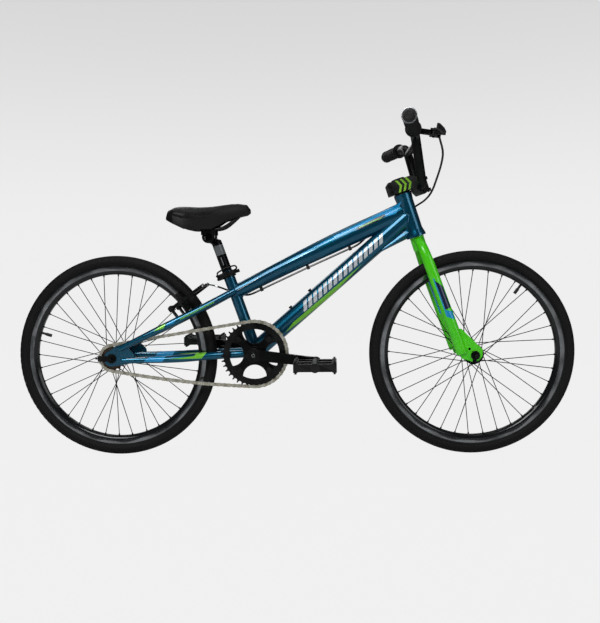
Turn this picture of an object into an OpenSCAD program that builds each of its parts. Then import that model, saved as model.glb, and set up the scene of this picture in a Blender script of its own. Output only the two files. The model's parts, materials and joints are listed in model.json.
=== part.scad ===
// Junior BMX race bike: rigid diamond frame, single speed, one rim brake at the rear.
// Millimetres. +X forwards, +Y to the rider's left, +Z up, origin on the ground midway between the axles.

/* [Frame] */
// Distance between the two axles
wheelbase = 888; // [850:1:960]
// Bottom bracket axle to rear axle
chain_stay_len = 352.1; // [345:0.1:380]
// Height of the bottom bracket axle above the ground
bb_height = 260; // [245:1:285]
// Seat tube angle above the horizontal, degrees
seat_angle = 71; // [69:0.5:74]
// Head tube angle above the horizontal, degrees
head_angle = 72; // [70:0.5:75]
// Length of the seat tube from the bottom bracket axle
seat_tube_len = 215; // [205:1:250]
// Outside diameter of the seat tube
seat_tube_d = 28.6; // [28:0.1:34]
// Wall of the frame tubes
tube_wall = 1.5; // [1:0.1:3]
// Length of the head tube
head_tube_len = 110; // [95:1:125]
// Space between the inner faces of the rear dropouts
rear_spacing = 110; // [108:1:116]
// Width of the bottom bracket shell
bb_shell_w = 68; // [66:1:73]

/* [Fork] */
// Distance from the front axle up to the bottom of the head tube, along the steering axis
fork_len = 316; // [305:1:330]
// Forward offset of the front axle from the steering axis
fork_rake = 38; // [30:1:45]
// Space between the inner faces of the fork ends
front_spacing = 100; // [98:1:104]
// Diameter of the steerer
steerer_d = 28.6; // [28:0.1:30]

/* [Wheels] */
// Outside diameter of the tyres
tyre_d = 506; // [500:1:515]
// Width of the tyres
tyre_w = 28; // [25:0.5:32]
// Width of the rims
rim_w = 20; // [18:0.5:24]
// Spokes in each wheel
spoke_count = 36; // [28:4:36]
// Diameter of a spoke
spoke_d = 2; // [1.8:0.1:2.3]
// Diameter of the axles
axle_d = 10; // [9.5:0.1:14]

/* [Drivetrain] */
// Teeth on the chainring
ring_teeth = 40; // [36:4:44]
// Teeth on the freewheel cog
cog_teeth = 16; // [16:1:18]
// Distance from the middle plane to the chain
chain_line = 47; // [45:0.5:50]
// Crank length, axle to axle
crank_len = 152; // [140:1:175]
// Width of a pedal along its axle
pedal_w = 92; // [80:1:100]
// Length of a pedal, front to back
pedal_len = 100; // [80:1:110]

/* [Cockpit] */
// Overall width of the handlebar
bar_width = 580; // [520:1:700]
// Diameter of the handlebar
bar_d = 22.2; // [22:0.1:25.4]
// Rise of the handlebar from the stem to the bend of the grips
bar_rise = 109; // [90:1:140]
// Length of a grip
grip_len = 128; // [110:1:140]
// Reach of the stem from the steering axis to the handlebar
stem_reach = 46; // [40:1:60]

/* [Seat] */
// Diameter of the seatpost
post_d = 25.4; // [25:0.1:27.2]
// Length of the seatpost below its head
post_len = 190; // [150:1:220]
// Height of the seatpost head above the bottom bracket, along the seat tube
post_head_s = 304; // [290:1:330]
// Length of the saddle
saddle_len = 209; // [200:1:250]
// Width of the saddle
saddle_w = 132; // [110:1:150]

/* [Hidden] */

// Clearances
running = 0.05;   // radial, a shaft that turns or slides in its bore
weld_gap = 0.3;   // between curved faces that only come close
eps = 0.01;

// Main points
axle_z = tyre_d / 2;
rear_x = -wheelbase / 2;
front_x = wheelbase / 2;
bb_x = rear_x + sqrt(pow(chain_stay_len, 2) - pow(bb_height - axle_z, 2));
seat_lean = 90 - seat_angle;
head_lean = 90 - head_angle;
axle_r = axle_d / 2;

// ---------- helpers ----------

function unit(v) = v / norm(v);
function mix(a, b, t) = a * (1 - t) + b * t;
function to_steer(p) = [front_x + (p[0] - fork_rake) * cos(head_lean) - p[2] * sin(head_lean), p[1],
    axle_z + (p[0] - fork_rake) * sin(head_lean) + p[2] * cos(head_lean)];
function on_seat(s, x = 0) = [bb_x - s * sin(seat_lean) + x * cos(seat_lean), 0,
    bb_height + s * cos(seat_lean) + x * sin(seat_lean)];

// Steering frame: +Z up the steering axis, +X forwards, origin level with the front axle
module at_steer() {
    translate(to_steer([0, 0, 0])) rotate([0, -head_lean, 0]) children();
}

// Seat frame: +Z up the seat tube from the bottom bracket axle
module at_seat() {
    translate([bb_x, 0, bb_height]) rotate([0, -seat_lean, 0]) children();
}

module at_bb() { translate([bb_x, 0, bb_height]) children(); }
module at_rear() { translate([rear_x, 0, axle_z]) children(); }
module at_front() { translate([front_x, 0, axle_z]) children(); }

// A cylinder along Y from y0 to y1
module y_rod(r, y0, y1) {
    translate([0, y1, 0]) rotate([90, 0, 0]) cylinder(r = r, h = y1 - y0, $fn = 48);
}

// A tube along Y
module y_ring(r_out, r_in, y0, y1) {
    difference() {
        y_rod(r_out, y0, y1);
        y_rod(r_in, y0 - 1, y1 + 1);
    }
}

// Both sides of the middle plane
module both() {
    children();
    mirror([0, 1, 0]) children();
}

// A rod between two points
module rod(a, b, r, fn = 32) {
    d = b - a;
    translate(a) rotate([0, acos(d[2] / norm(d)), atan2(d[1], d[0])])
        cylinder(r = r, h = norm(d), $fn = fn);
}

// A flat plate lying across Y, drawn in X and Z
module y_plate(y0, y1) {
    translate([0, y1, 0]) rotate([90, 0, 0]) linear_extrude(y1 - y0) children();
}

// Points of a bent path: straight runs joined by curves that start r before each corner
function toward(p, q, r) = p + unit(q - p) * min(r, norm(q - p) * 0.48);
function bend(p, r, n = 6) = [
    for (i = [0:len(p) - 1])
        if (i == 0 || i == len(p) - 1) p[i]
        else each let (
            a = toward(p[i], p[i - 1], is_list(r) ? r[i] : r),
            b = toward(p[i], p[i + 1], is_list(r) ? r[i] : r))
            [for (k = [0:n]) let (t = k / n) mix(mix(a, p[i], t), mix(p[i], b, t), t)]];

function tangent(p, i) = unit(p[min(i + 1, len(p) - 1)] - p[max(i - 1, 0)]);

// Side vectors carried along a path without twisting
function carry(p, i, v) = let (t = tangent(p, i), u = unit(v - t * (v * t)))
    i == len(p) - 1 ? [u] : concat([u], carry(p, i + 1, u));

// A closed skin round a path; w and h list the half widths along and across the side vector
module sweep(p, w, h, side = [0, 1, 0], n = 16) {
    u = carry(p, 0, side);
    pts = [for (i = [0:len(p) - 1]) let (t = tangent(p, i), v = cross(t, u[i]))
        for (k = [0:n - 1]) p[i] + u[i] * w[i] * cos(360 * k / n) + v * h[i] * sin(360 * k / n)];
    walls = [for (i = [0:len(p) - 2]) for (k = [0:n - 1]) let (j = (k + 1) % n)
        each [[i * n + k, (i + 1) * n + j, i * n + j], [i * n + k, (i + 1) * n + k, (i + 1) * n + j]]];
    caps = [[for (k = [0:n - 1]) k], [for (k = [n - 1:-1:0]) (len(p) - 1) * n + k]];
    polyhedron(pts, concat(walls, caps), convexity = 6);
}

module pipe(p, r, n = 12, side = [0, 1, 0]) {
    sweep(p, [for (q = p) r], [for (q = p) r], side, n);
}

// ---------- head tube, headset ----------

head_r = 20.5;
head_flare_r = 24;
head_flare_h = 14;
head_lip_h = 5;
bearing_r = 18.5;
bearing_h = 7;
steerer_r = steerer_d / 2;
head_bore_r = steerer_r + 2.2;
head_z0 = fork_len;
head_z1 = fork_len + head_tube_len;

// Outline of the head tube: half width at each height
head_outline = [
    [head_flare_r, head_z0], [head_flare_r, head_z0 + head_lip_h],
    [head_r, head_z0 + head_lip_h + head_flare_h], [head_r, head_z1 - head_lip_h - head_flare_h],
    [head_r + 1.5, head_z1 - head_lip_h], [head_r + 1.5, head_z1]];

module head_body() {
    at_steer() rotate_extrude($fn = 72) polygon(concat([[0, head_z0]], head_outline, [[0, head_z1]]));
}

module head_tube() color("#0b3f52") difference() {
    head_body();
    at_steer() {
        translate([0, 0, head_z0 - 1]) cylinder(r = head_bore_r, h = head_tube_len + 2, $fn = 64);
        translate([0, 0, head_z0 - 1]) cylinder(r = bearing_r, h = bearing_h + 1, $fn = 64);
        translate([0, 0, head_z1 - bearing_h]) cylinder(r = bearing_r, h = bearing_h + 1, $fn = 64);
    }
}

module headset_bearings() color("#9a9ca0") at_steer() for (z = [head_z0, head_z1 - bearing_h])
    translate([0, 0, z]) difference() {
        cylinder(r = bearing_r, h = bearing_h, $fn = 64);
        translate([0, 0, -1]) cylinder(r = steerer_r + running, h = bearing_h + 2, $fn = 64);
    }

// ---------- main tubes ----------

seat_tube_r = seat_tube_d / 2;
post_r = post_d / 2;
bb_shell_r = 20.5;
bb_bore_r = 17.5;
tube_sides = 24;

module seat_tube_body() {
    at_seat() cylinder(r = seat_tube_r, h = seat_tube_len, $fn = 64);
}

module seat_tube() color("#0b3f52") difference() {
    seat_tube_body();
    at_seat() cylinder(r = post_r + running, h = seat_tube_len + 1, $fn = 64);
    at_bb() y_rod(bb_shell_r, -bb_shell_w, bb_shell_w);
}

// The top tube arches from the seat tube to the head tube and is deepest near the head
tt_seat_s = 158;
tt_head_s = 70;
tt_start = on_seat(tt_seat_s, -2);
tt_end = to_steer([-2, 0, head_z0 + tt_head_s]);
tt_n = 10;
tt_arch = 4.5;
function tt_half(t) = 17.3 + 6.2 * pow(sin(90 * min(1, t * 1.4)), 2);
tt_path = [for (i = [0:tt_n]) let (t = i / tt_n) mix(tt_start, tt_end, t) + [-0.42, 0, 0.9] * tt_arch * sin(180 * t)];
tt_heights = [for (i = [0:tt_n]) tt_half(i / tt_n)];
tt_widths = [for (i = [0:tt_n]) 15.5 + 2 * i / tt_n];

module top_tube_body() {
    sweep(tt_path, tt_widths, tt_heights, n = tube_sides);
}

module top_tube() color("#0b3f52") difference() {
    top_tube_body();
    seat_tube_body();
    head_body();
}

// The down tube runs straight from the shell to the lower head tube
dt_root = [bb_x, 0, bb_height + 4];
dt_end = to_steer([0, 0, head_z0 + 56]);
dt_dir = unit(dt_end - dt_root);
dt_start = dt_root + dt_dir * 14;
dt_n = 6;
dt_half = 22.3;
dt_width = 20;
dt_path = [for (i = [0:dt_n]) mix(dt_start, dt_end, i / dt_n)];
dt_up = [-dt_dir[2], 0, dt_dir[0]];

module down_tube_body() {
    sweep(dt_path, [for (q = dt_path) dt_width], [for (q = dt_path) dt_half], n = tube_sides);
}

// A wedge stiffens the joint below the down tube at the head
gusset_len = 118;
gusset_w = 12;

module gusset() {
    a = dt_end - dt_dir * gusset_len - dt_up * (dt_half - 4);
    b = to_steer([-head_r + 4, 0, head_z0 + head_lip_h + 12]);
    sweep([a, mix(a, b, 0.5), b], [gusset_w, gusset_w, gusset_w], [2, 7.5, 13.5], n = 12);
}

module down_tube() color("#0b3f52") difference() {
    union() {
        down_tube_body();
        gusset();
    }
    head_body();
    top_tube_body();
    seat_tube_body();
    at_bb() y_rod(bb_shell_r, -bb_shell_w, bb_shell_w);
    for (s = boss_s) at_boss(s) cylinder(r = boss_bolt_r, h = 60, center = true, $fn = 24);
}

// Two threaded bosses for a bottle cage sit on top of the down tube
boss_s = [122.5, 186.5];
boss_bolt_r = 2.5;
boss_head_r = 4.5;

module at_boss(s) {
    p = dt_start + dt_dir * s + dt_up * dt_half;
    translate(p) rotate([0, -atan2(dt_dir[2], dt_dir[0]), 0]) children();
}

module bottle_bolts() color("#1b1c1e") for (s = boss_s) at_boss(s) {
    translate([0, 0, 0.6]) cylinder(r = boss_head_r, h = 4, $fn = 32);
    translate([0, 0, -12]) cylinder(r = boss_bolt_r, h = 13, $fn = 24);
}

// ---------- bottom bracket ----------

spindle_r = 9.5;
bb_bearing_w = 12;

module bb_shell() color("#0b3f52") at_bb() y_ring(bb_shell_r, bb_bore_r, -bb_shell_w / 2, bb_shell_w / 2);

module bb_bearings() color("#8c8f93") at_bb() both() union() {
    y_ring(bb_bore_r, spindle_r + running, bb_shell_w / 2 - bb_bearing_w, bb_shell_w / 2);
    y_ring(bb_shell_r - 1, spindle_r + running, bb_shell_w / 2, bb_shell_w / 2 + 2);
}

crank_in = 60;      // inner face of each crank arm
arm_t = 12;         // thickness of a crank arm
spindle_half = crank_in + arm_t;

module bb_spindle() color("#303236") at_bb() y_rod(spindle_r, -spindle_half, spindle_half);

// ---------- stays and rear dropouts ----------

drop_y = rear_spacing / 2;
drop_t = 5;
stay_end_y = drop_y + drop_t + 1;

cs_path = bend([
    [rear_x + 27, stay_end_y - 1.5, axle_z - 5], [rear_x + 150, stay_end_y - 8, axle_z - 4],
    [rear_x + 232, 30, axle_z + 1], [bb_x - 6, 23, bb_height - 1]], 45, 4);
cs_r = [for (i = [0:len(cs_path) - 1]) 7.5 + 2.3 * min(1, i / 5)];

module chain_stay_body() { sweep(cs_path, cs_r, cs_r, n = 16); }

module chain_stays() color("#0b3f52") both() difference() {
    chain_stay_body();
    at_bb() y_rod(bb_shell_r, -bb_shell_w, bb_shell_w);
    dropout_body();
    translate([bb_x - 60, -60, 0]) cube([120, 60, 500]);
}

ss_top = on_seat(162, 2);
ss_path = bend([
    [rear_x + 20, stay_end_y + 1.5, axle_z + 24], [rear_x + 102, stay_end_y, axle_z + 62],
    [rear_x + 232, 30, axle_z + 125], [ss_top[0], 15, ss_top[2]]], 45, 4);
ss_r = [for (i = [0:len(ss_path) - 1]) 7 + 2 * min(1, i / 4)];

module seat_stay_body() { sweep(ss_path, ss_r, ss_r, n = 16); }

module seat_stays() color("#0b3f52") {
    both() difference() {
        seat_stay_body();
        seat_tube_body();
        top_tube_body();
        dropout_body();
        at_boss_axis() brake_boss();
        translate([bb_x - 150, -60, 300]) cube([200, 60, 200]);
    }
    both() at_boss_axis() brake_boss();
}

// The post that a brake arm turns on passes through the stay
module brake_boss() { cylinder(r = boss_r, h = boss_len, center = true, $fn = 32); }

drop_eye_r = 20;
drop_slot_w = axle_d + 0.6;

module dropout_body() {
    at_rear() difference() {
        y_plate(drop_y, drop_y + drop_t) union() {
            circle(r = drop_eye_r, $fn = 64);
            polygon([[-6, 19], [16, 33], [34, 34], [56, 10], [58, -8], [40, -14], [6, -19]]);
        }
        y_plate(drop_y - 1, drop_y + drop_t + 1) union() {
            circle(r = drop_slot_w / 2, $fn = 48);
            translate([-40, -drop_slot_w / 2]) square([40, drop_slot_w]);
        }
    }
}

module rear_dropouts() color("#0b3f52") both() dropout_body();

// ---------- seat clamp ----------

clamp_h = 15;
clamp_wall = 4.2;
clamp_s = seat_tube_len - clamp_h - 1;
clamp_r = seat_tube_r + clamp_wall;
ear_x = -clamp_r - 5;
skewer_r = 2.5;

module seat_clamp() color("#17181a") {
    seat_collar();
    at_seat() translate([ear_x, 0, clamp_s + clamp_h / 2]) skewer();
}

// Bolt through the collar's ears: a nut at one end and an eye for the cam's pin at the other
module skewer() {
    difference() {
        union() {
            y_rod(skewer_r - running, lever_pin_y, 14);
            translate([0, lever_pin_y, -eye_h / 2]) cylinder(r = 3.8, h = eye_h, $fn = 32);
            y_rod(5, 9 + weld_gap, 14);
        }
        translate([0, lever_pin_y, -10]) cylinder(r = cam_pin_r + running, h = 20, $fn = 24);
    }
}

module seat_collar() at_seat() translate([0, 0, clamp_s]) difference() {
    union() {
        cylinder(r = clamp_r, h = clamp_h, $fn = 64);
        translate([-clamp_r - 10, -9, 0]) cube([clamp_r, 18, clamp_h]);
    }
    translate([0, 0, -1]) cylinder(r = seat_tube_r, h = clamp_h + 2, $fn = 64);
    translate([-clamp_r - 12, -1.2, -1]) cube([clamp_r + 2, 2.4, clamp_h + 2]);
    translate([ear_x, 0, clamp_h / 2]) y_rod(skewer_r, -30, 30);
}

// Cam lever: it lies along the near side of the collar and ends in front
lever_pin_y = -15;
cam_pin_r = 1.5;
eye_h = 5;

module seat_clamp_lever() color("#222428") at_seat() translate([ear_x, 0, clamp_s + clamp_h / 2]) union() {
    difference() {
        translate([0, lever_pin_y, -6]) cylinder(r = 5.5, h = 12, $fn = 32);
        translate([-10, lever_pin_y - 10, -eye_h / 2 - 0.3]) cube([20, 20, eye_h + 0.6]);
    }
    translate([0, lever_pin_y, -5]) cylinder(r = cam_pin_r, h = 10, $fn = 24);
    hull() {
        translate([4.4, lever_pin_y - 6, -5]) cube([3, 4.5, 10]);
        translate([26, -clamp_r - 6, -4]) cube([4, 4, 8]);
    }
    hull() {
        translate([26, -clamp_r - 6, -4]) cube([4, 4, 8]);
        translate([52, -clamp_r - 2, -4]) cube([4, 4, 8]);
    }
}

// ---------- cables and guides on the frame ----------

cable_r = 2.5;
guide_t = [0.14, 0.41, 0.65];

// Where the housing runs under the top tube, t from the seat tube to the head tube
function under_top(t) = mix(tt_start, tt_end, t) + [-0.42, 0, 0.9] * tt_arch * sin(180 * t)
    + [0.42, 0, -0.9] * (tt_half(t) + cable_r + 3.2);

function beside_top(t) = under_top(t) + [-0.42, 0, 0.9] * 14 + [0, 22, 0];

cable_join = beside_top(0.86) + [0, 2, 8];
join_dir = unit(beside_top(0.78) - cable_join);

cable_exit = [-192, 34, 424];
cable_exit_dir = unit([-18, 1, 6]);

rear_cable_pts = bend([
    cable_join, beside_top(0.78), under_top(0.7), under_top(guide_t[2]), under_top(guide_t[1]), under_top(guide_t[0]),
    under_top(0.07), [-140, 35, 403], cable_exit - cable_exit_dir * 14, cable_exit], 16, 3);

// Housing, and the bare wire that crosses from the guide tube to the far arm
module brake_cable_rear() color("#101112") {
    pipe(rear_cable_pts, cable_r, 8);
    at_brake() translate([noodle_x, 0, arm_z0 + 6]) y_rod(0.8, -boss_y - 4, 9.5);
}

module cable_guides() color("#101112") for (t = guide_t) difference() {
    run = under_top(t + 0.02) - under_top(t - 0.02);
    translate(under_top(t)) rotate([0, -atan2(run[2], run[0]), 0]) difference() {
        translate([-3.5, -6, -cable_r - 2.5]) cube([7, 12, 2 * cable_r + 9]);
        translate([-20, 0, 0]) rotate([0, 90, 0]) cylinder(r = cable_r + 1, h = 40, $fn = 24);
    }
    top_tube_body();
}

// ---------- fork ----------

crown_h = 30;
leg_y = front_spacing / 2 + 3;
leg_top = [2, leg_y, head_z0 - 62];
fork_end_t = 5;
leg_path = bend([[-1, 8, head_z0 - 9], [1, leg_y - 12, head_z0 - 24], leg_top + [0, 0, -10],
    [9.5, leg_y, 14]], 30, 5);
leg_half = [for (i = [0:len(leg_path) - 1]) let (t = i / (len(leg_path) - 1))
    11.5 + 2 * t];
leg_wide = [for (i = [0:len(leg_path) - 1]) let (t = i / (len(leg_path) - 1)) 11.5 - 1.5 * t];
race_h = 3;

module crown_body() {
    at_steer() translate([0, 0, head_z0 - race_h - crown_h]) cylinder(r = 17, h = crown_h, $fn = 64);
}

module fork_steerer() color("#2fd11a") union() {
    crown_body();
    at_steer() translate([0, 0, head_z0 - race_h - eps])
        cylinder(r = bearing_r - 1, h = race_h - weld_gap, $fn = 64);
    at_steer() translate([0, 0, head_z0 - race_h - eps])
        cylinder(r = steerer_r, h = stem_top - 2 - head_z0 + race_h, $fn = 64);
}

module fork_legs() color("#2fd11a") both() difference() {
    at_steer() sweep(leg_path, leg_wide, leg_half, side = [0, 1, 0], n = 20);
    crown_body();
    at_steer() translate([-40, -40, head_z0 - race_h - weld_gap]) cube([80, 100, 30]);
    translate([0, -60, 0]) cube([900, 60, 900]);
    fork_end_body();
}

// Plates that carry the front axle, ahead of the legs
module fork_end_body() {
    at_steer() translate([fork_rake, 0, 0]) difference() {
        y_plate(front_spacing / 2, front_spacing / 2 + fork_end_t) union() {
            circle(r = 15, $fn = 64);
            polygon([[-34, 66], [-20, 74], [-12, 72], [21, 8], [15, -8], [-7, -16], [-34, 4]]);
        }
        y_plate(front_spacing / 2 - 1, front_spacing / 2 + fork_end_t + 1) union() {
            circle(r = axle_r + 0.3, $fn = 48);
            translate([-8.5, 19]) circle(r = 3.2, $fn = 24);
            translate([-4, 11.5]) circle(r = 1.5, $fn = 24);
            rotate(-115) translate([0, -axle_r - 0.3]) square([30, axle_d + 0.6]);
        }
    }
}

module fork_dropouts() color("#2fd11a") both() fork_end_body();

// ---------- stem and headset cover ----------

cover_h = 4;
stem_z0 = head_z1 + cover_h + weld_gap;
stem_w = 44;
stem_top = head_z1 + 36;
clamp_half = 19;
face_bolt_z = 14.5;
bar_z = head_z1 + 3.5;
bar_r = bar_d / 2;
split_x = stem_reach + 2;

module headset_cover() color("#141517") at_steer() translate([0, 0, head_z1 + weld_gap / 2]) difference() {
    union() {
        cylinder(r = head_r + 1, h = cover_h - 2, $fn = 64);
        translate([0, 0, cover_h - 2 - eps]) cylinder(r = head_r - 2, h = 2, $fn = 64);
    }
    translate([0, 0, -1]) cylinder(r = steerer_r, h = cover_h + 2, $fn = 64);
}

// Side view of the whole stem, forwards and up the steering axis from the bar's centre line
module stem_side() {
    polygon([
        [-33, stem_z0], [-33, stem_top - 5], [-28, stem_top], [stem_reach - 18, stem_top],
        [stem_reach + 10, bar_z + clamp_half], [stem_reach + 17, bar_z + 12], [stem_reach + 17, bar_z - 12],
        [stem_reach + 10, bar_z - clamp_half], [stem_reach - 14, bar_z - clamp_half],
        [stem_reach - 20, bar_z - 8], [steerer_r + 10, stem_z0]]);
}

module stem_body() {
    at_steer() difference() {
        y_plate(-stem_w / 2, stem_w / 2) stem_side();
        translate([0, 0, stem_z0 - 5]) cylinder(r = steerer_r, h = 60, $fn = 64);
        translate([-60, -1, 0]) cube([60 - steerer_r + 3, 2, 900]);
        translate([stem_reach, 0, bar_z]) y_rod(bar_r, -40, 40);
        for (z = [stem_z0 + 7, stem_z0 + 23]) translate([-26, 0, z]) y_rod(2.6, -40, 40);
        for (y = [-15, 15]) for (z = [-face_bolt_z, face_bolt_z])
            translate([stem_reach - 8, y, bar_z + z]) rotate([0, 90, 0]) cylinder(r = 2.6, h = 40, $fn = 24);
    }
}

module stem() color("#232426") difference() {
    stem_body();
    at_steer() translate([split_x - 1.2, -60, 0]) cube([100, 120, 900]);
}

module stem_faceplate() color("#1c1d1f") intersection() {
    stem_body();
    at_steer() translate([split_x + 1.2, -60, 0]) cube([100, 120, 900]);
}

module stem_bolts() color("#111213") {
    at_steer() {
        for (z = [stem_z0 + 7, stem_z0 + 23]) translate([-26, 0, z]) union() {
            y_rod(2.4, -stem_w / 2 - 1, stem_w / 2 - 4);
            y_rod(4.4, -stem_w / 2 - 4.5, -stem_w / 2 - 0.2);
        }
        for (y = [-15, 15]) for (z = [-face_bolt_z, face_bolt_z]) translate([0, y, bar_z + z]) rotate([0, 90, 0]) union() {
            translate([0, 0, stem_reach - 6]) cylinder(r = 2.4, h = 24, $fn = 24);
            translate([0, 0, stem_reach + 17.2]) cylinder(r = 4.2, h = 4, $fn = 32);
        }
        translate([0, 0, stem_top]) cylinder(r = 16, h = 3.5, $fn = 48);
    }
}

// ---------- handlebar ----------

bar_c = to_steer([stem_reach, 0, bar_z]);
bar_low_y = 44;
bar_bend = 19;
bar_top_y = 97;
bar_top = [bar_c[0] - bar_rise * 0.21, bar_top_y, bar_c[2] + bar_rise];
bar_sweep = 10.3;
bar_up = 2;
grip_dir = unit([-sin(bar_sweep), cos(bar_sweep), sin(bar_up)]);
bar_end = bar_top + grip_dir * (bar_width / 2 - bar_top_y) / grip_dir[1];
bar_side = bend([[bar_c[0], 0, bar_c[2]], [bar_c[0], bar_low_y, bar_c[2]], bar_top, bar_end],
    [0, bar_bend, 26, 0], 8);

module handlebar() color("#0e0f10") difference() {
    union() {
        sweep(concat([for (i = [len(bar_side) - 1:-1:1]) [bar_side[i][0], -bar_side[i][1], bar_side[i][2]]],
            bar_side), [for (i = [1:2 * len(bar_side) - 1]) bar_r], [for (i = [1:2 * len(bar_side) - 1]) bar_r],
            side = [1, 0, 0], n = 24);
        rod(cross_at(-1), cross_at(1), cross_r);
    }
    both() rod(bar_end + grip_dir, bar_end - grip_dir * plug_in, bar_r - tube_wall - 0.5);
}

cross_r = 8.5;
cross_t = 0.84;
function cross_at(side) = let (p = mix([bar_c[0], bar_low_y, bar_c[2]], bar_top, cross_t)) [p[0], p[1] * side, p[2]];

grip_r = 16;
flange_r = 18.5;
plug_in = 18;
ring_h = 5;

module grips() color("#151617") both() difference() {
    union() {
        rod(bar_end - grip_dir * (grip_len + ring_h), bar_end - grip_dir * ring_h, grip_r);
        rod(bar_end - grip_dir * (grip_len + ring_h), bar_end - grip_dir * (grip_len + ring_h - 4), flange_r);
    }
    rod(bar_end - grip_dir * (grip_len + 20), bar_end + grip_dir, bar_r);
}

module bar_end_plugs() color("#c8cacc") both() union() {
    rod(bar_end + grip_dir * 0.2, bar_end + grip_dir * 2.5, grip_r - 1);
    rod(bar_end - grip_dir * (plug_in - 1), bar_end + grip_dir * 0.3, bar_r - tube_wall - 0.5 - running);
    difference() {
        rod(bar_end - grip_dir * (ring_h - 0.2), bar_end + grip_dir * 0.25, grip_r + 0.5);
        rod(bar_end - grip_dir * ring_h * 2, bar_end + grip_dir * 3, bar_r);
    }
}

// ---------- brake lever ----------

lever_s = grip_len + ring_h + 12;
lever_at = [bar_end[0], -bar_end[1], bar_end[2]] + [-grip_dir[0], grip_dir[1], -grip_dir[2]] * lever_s;
pivot_x = 46;
lever_tilt = 11;
pivot_y = -4;
blade_len = 92;

// Lever frame: +X forwards from the bar, +Y inwards along the bar, Z up
module at_lever() {
    translate(lever_at) rotate([0, lever_tilt, -bar_sweep]) children();
}
function from_lever(p) = let (x = p[0] * cos(lever_tilt) + p[2] * sin(lever_tilt))
    lever_at + [x * cos(bar_sweep) + p[1] * sin(bar_sweep),
        p[1] * cos(bar_sweep) - x * sin(bar_sweep), p[2] * cos(lever_tilt) - p[0] * sin(lever_tilt)];
barrel_x = pivot_x + 10;
barrel_y = pivot_y + 7;
barrel_len = 22;

module brake_lever_bracket() color("#101112") difference() {
    union() {
        rod(lever_at + [-grip_dir[0], grip_dir[1], -grip_dir[2]] * -6,
            lever_at + [-grip_dir[0], grip_dir[1], -grip_dir[2]] * 6, bar_r + 4);
        at_lever() {
            translate([bar_r, -9, -5]) cube([pivot_x - bar_r - 8, 20, 10]);
            translate([pivot_x - 9, pivot_y - 8, -8.5]) cube([18, 15, 4]);
            translate([pivot_x - 9, pivot_y - 8, 4.5]) cube([18, 15, 4]);
            translate([pivot_x - 10, pivot_y + 7, -8.5]) cube([25, 6, 17]);
            translate([barrel_x, barrel_y, 0]) rotate([-90, 0, 0]) cylinder(r = 4, h = barrel_len, $fn = 32);
        }
    }
    rod(lever_at + [-grip_dir[0], grip_dir[1], -grip_dir[2]] * -20,
        lever_at + [-grip_dir[0], grip_dir[1], -grip_dir[2]] * 20, bar_r);
    at_lever() {
        translate([pivot_x, pivot_y, -20]) cylinder(r = 2.5, h = 40, $fn = 24);
        translate([barrel_x, pivot_y + 1, 0]) rotate([-90, 0, 0]) cylinder(r = 1.2, h = 40, $fn = 24);
    }
}

// The blade turns on its own pin; it runs forwards and then out along the grip
module brake_lever_blade() color("#1d1e20") at_lever() union() {
    translate([pivot_x, pivot_y, -11]) cylinder(r = 2.5 - running, h = 22, $fn = 24);
    translate([pivot_x, pivot_y, -4.2]) cylinder(r = 6.5, h = 8.4, $fn = 32);
    hull() {
        translate([pivot_x, pivot_y, 0]) cylinder(r = 5, h = 7, center = true, $fn = 32);
        translate([pivot_x + 22, pivot_y - 14, 0]) cylinder(r = 4.5, h = 8, center = true, $fn = 32);
    }
    hull() {
        translate([pivot_x + 22, pivot_y - 14, 0]) cylinder(r = 4.5, h = 8, center = true, $fn = 32);
        translate([pivot_x + 20, pivot_y - 50, 0]) cylinder(r = 3.5, h = 10, center = true, $fn = 32);
    }
    hull() {
        translate([pivot_x + 20, pivot_y - 50, 0]) cylinder(r = 3.5, h = 10, center = true, $fn = 32);
        translate([pivot_x + 12, pivot_y - blade_len, 0]) cylinder(r = 3.2, h = 11, center = true, $fn = 32);
    }
}

// Front run of the brake housing, from the lever round the head tube to the first guide
front_cable_pts = bend([
    from_lever([barrel_x, barrel_y + barrel_len + 0.3, 0]), from_lever([barrel_x, barrel_y + barrel_len + 22, 0]),
    [362, -92, 732], [359, -72, 704], [352, -50, 676], [344, -30, 648], [331, -5, 630],
    [308, 20, 617], [286, 37, 596], [244, 36, 574],
    cable_join - join_dir * 14, cable_join - join_dir * weld_gap], 16, 3);

module brake_cable_front() color("#101112") pipe(front_cable_pts, cable_r, 8);

// ---------- wheels ----------

tyre_seat = 3.5;
rim_r = axle_z - tyre_w + tyre_seat;
rim_bed_r = rim_r - 22.5;
tyre_r = tyre_w / 2;
tyre_c = axle_z - tyre_r;
tyre_wall = 2.6;
bead_w = rim_w - 5;
rim_wall = 1.8;

// Half of the space between the rim's flanges
well = rim_w / 2 - rim_wall;

module tyre() {
    rotate([90, 0, 0]) rotate_extrude($fn = 144) difference() {
        union() {
            difference() {
                translate([tyre_c, 0]) circle(r = tyre_r, $fn = 64);
                translate([rim_r - 30, -30]) square([30.4, 60]);
            }
            translate([rim_r - 9, -well + 0.3]) square([12, 2 * well - 0.6]);
        }
        translate([tyre_c, 0]) circle(r = tyre_r - tyre_wall, $fn = 64);
        translate([rim_r - 30, -well + 2.9]) square([36, 2 * well - 5.8]);
    }
}

module inner_tube(angle) {
    rotate([90, 0, 0]) rotate_extrude($fn = 144)
        translate([tyre_c, 0]) circle(r = tyre_r - tyre_wall - 0.3, $fn = 48);
    rotate([0, -angle, 0]) rotate([0, 90, 0]) {
        translate([0, 0, rim_bed_r - 22]) cylinder(r = 3, h = 40, $fn = 24);
        translate([0, 0, rim_bed_r - 26]) cylinder(r = 4, h = 14, $fn = 24);
    }
}

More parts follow.
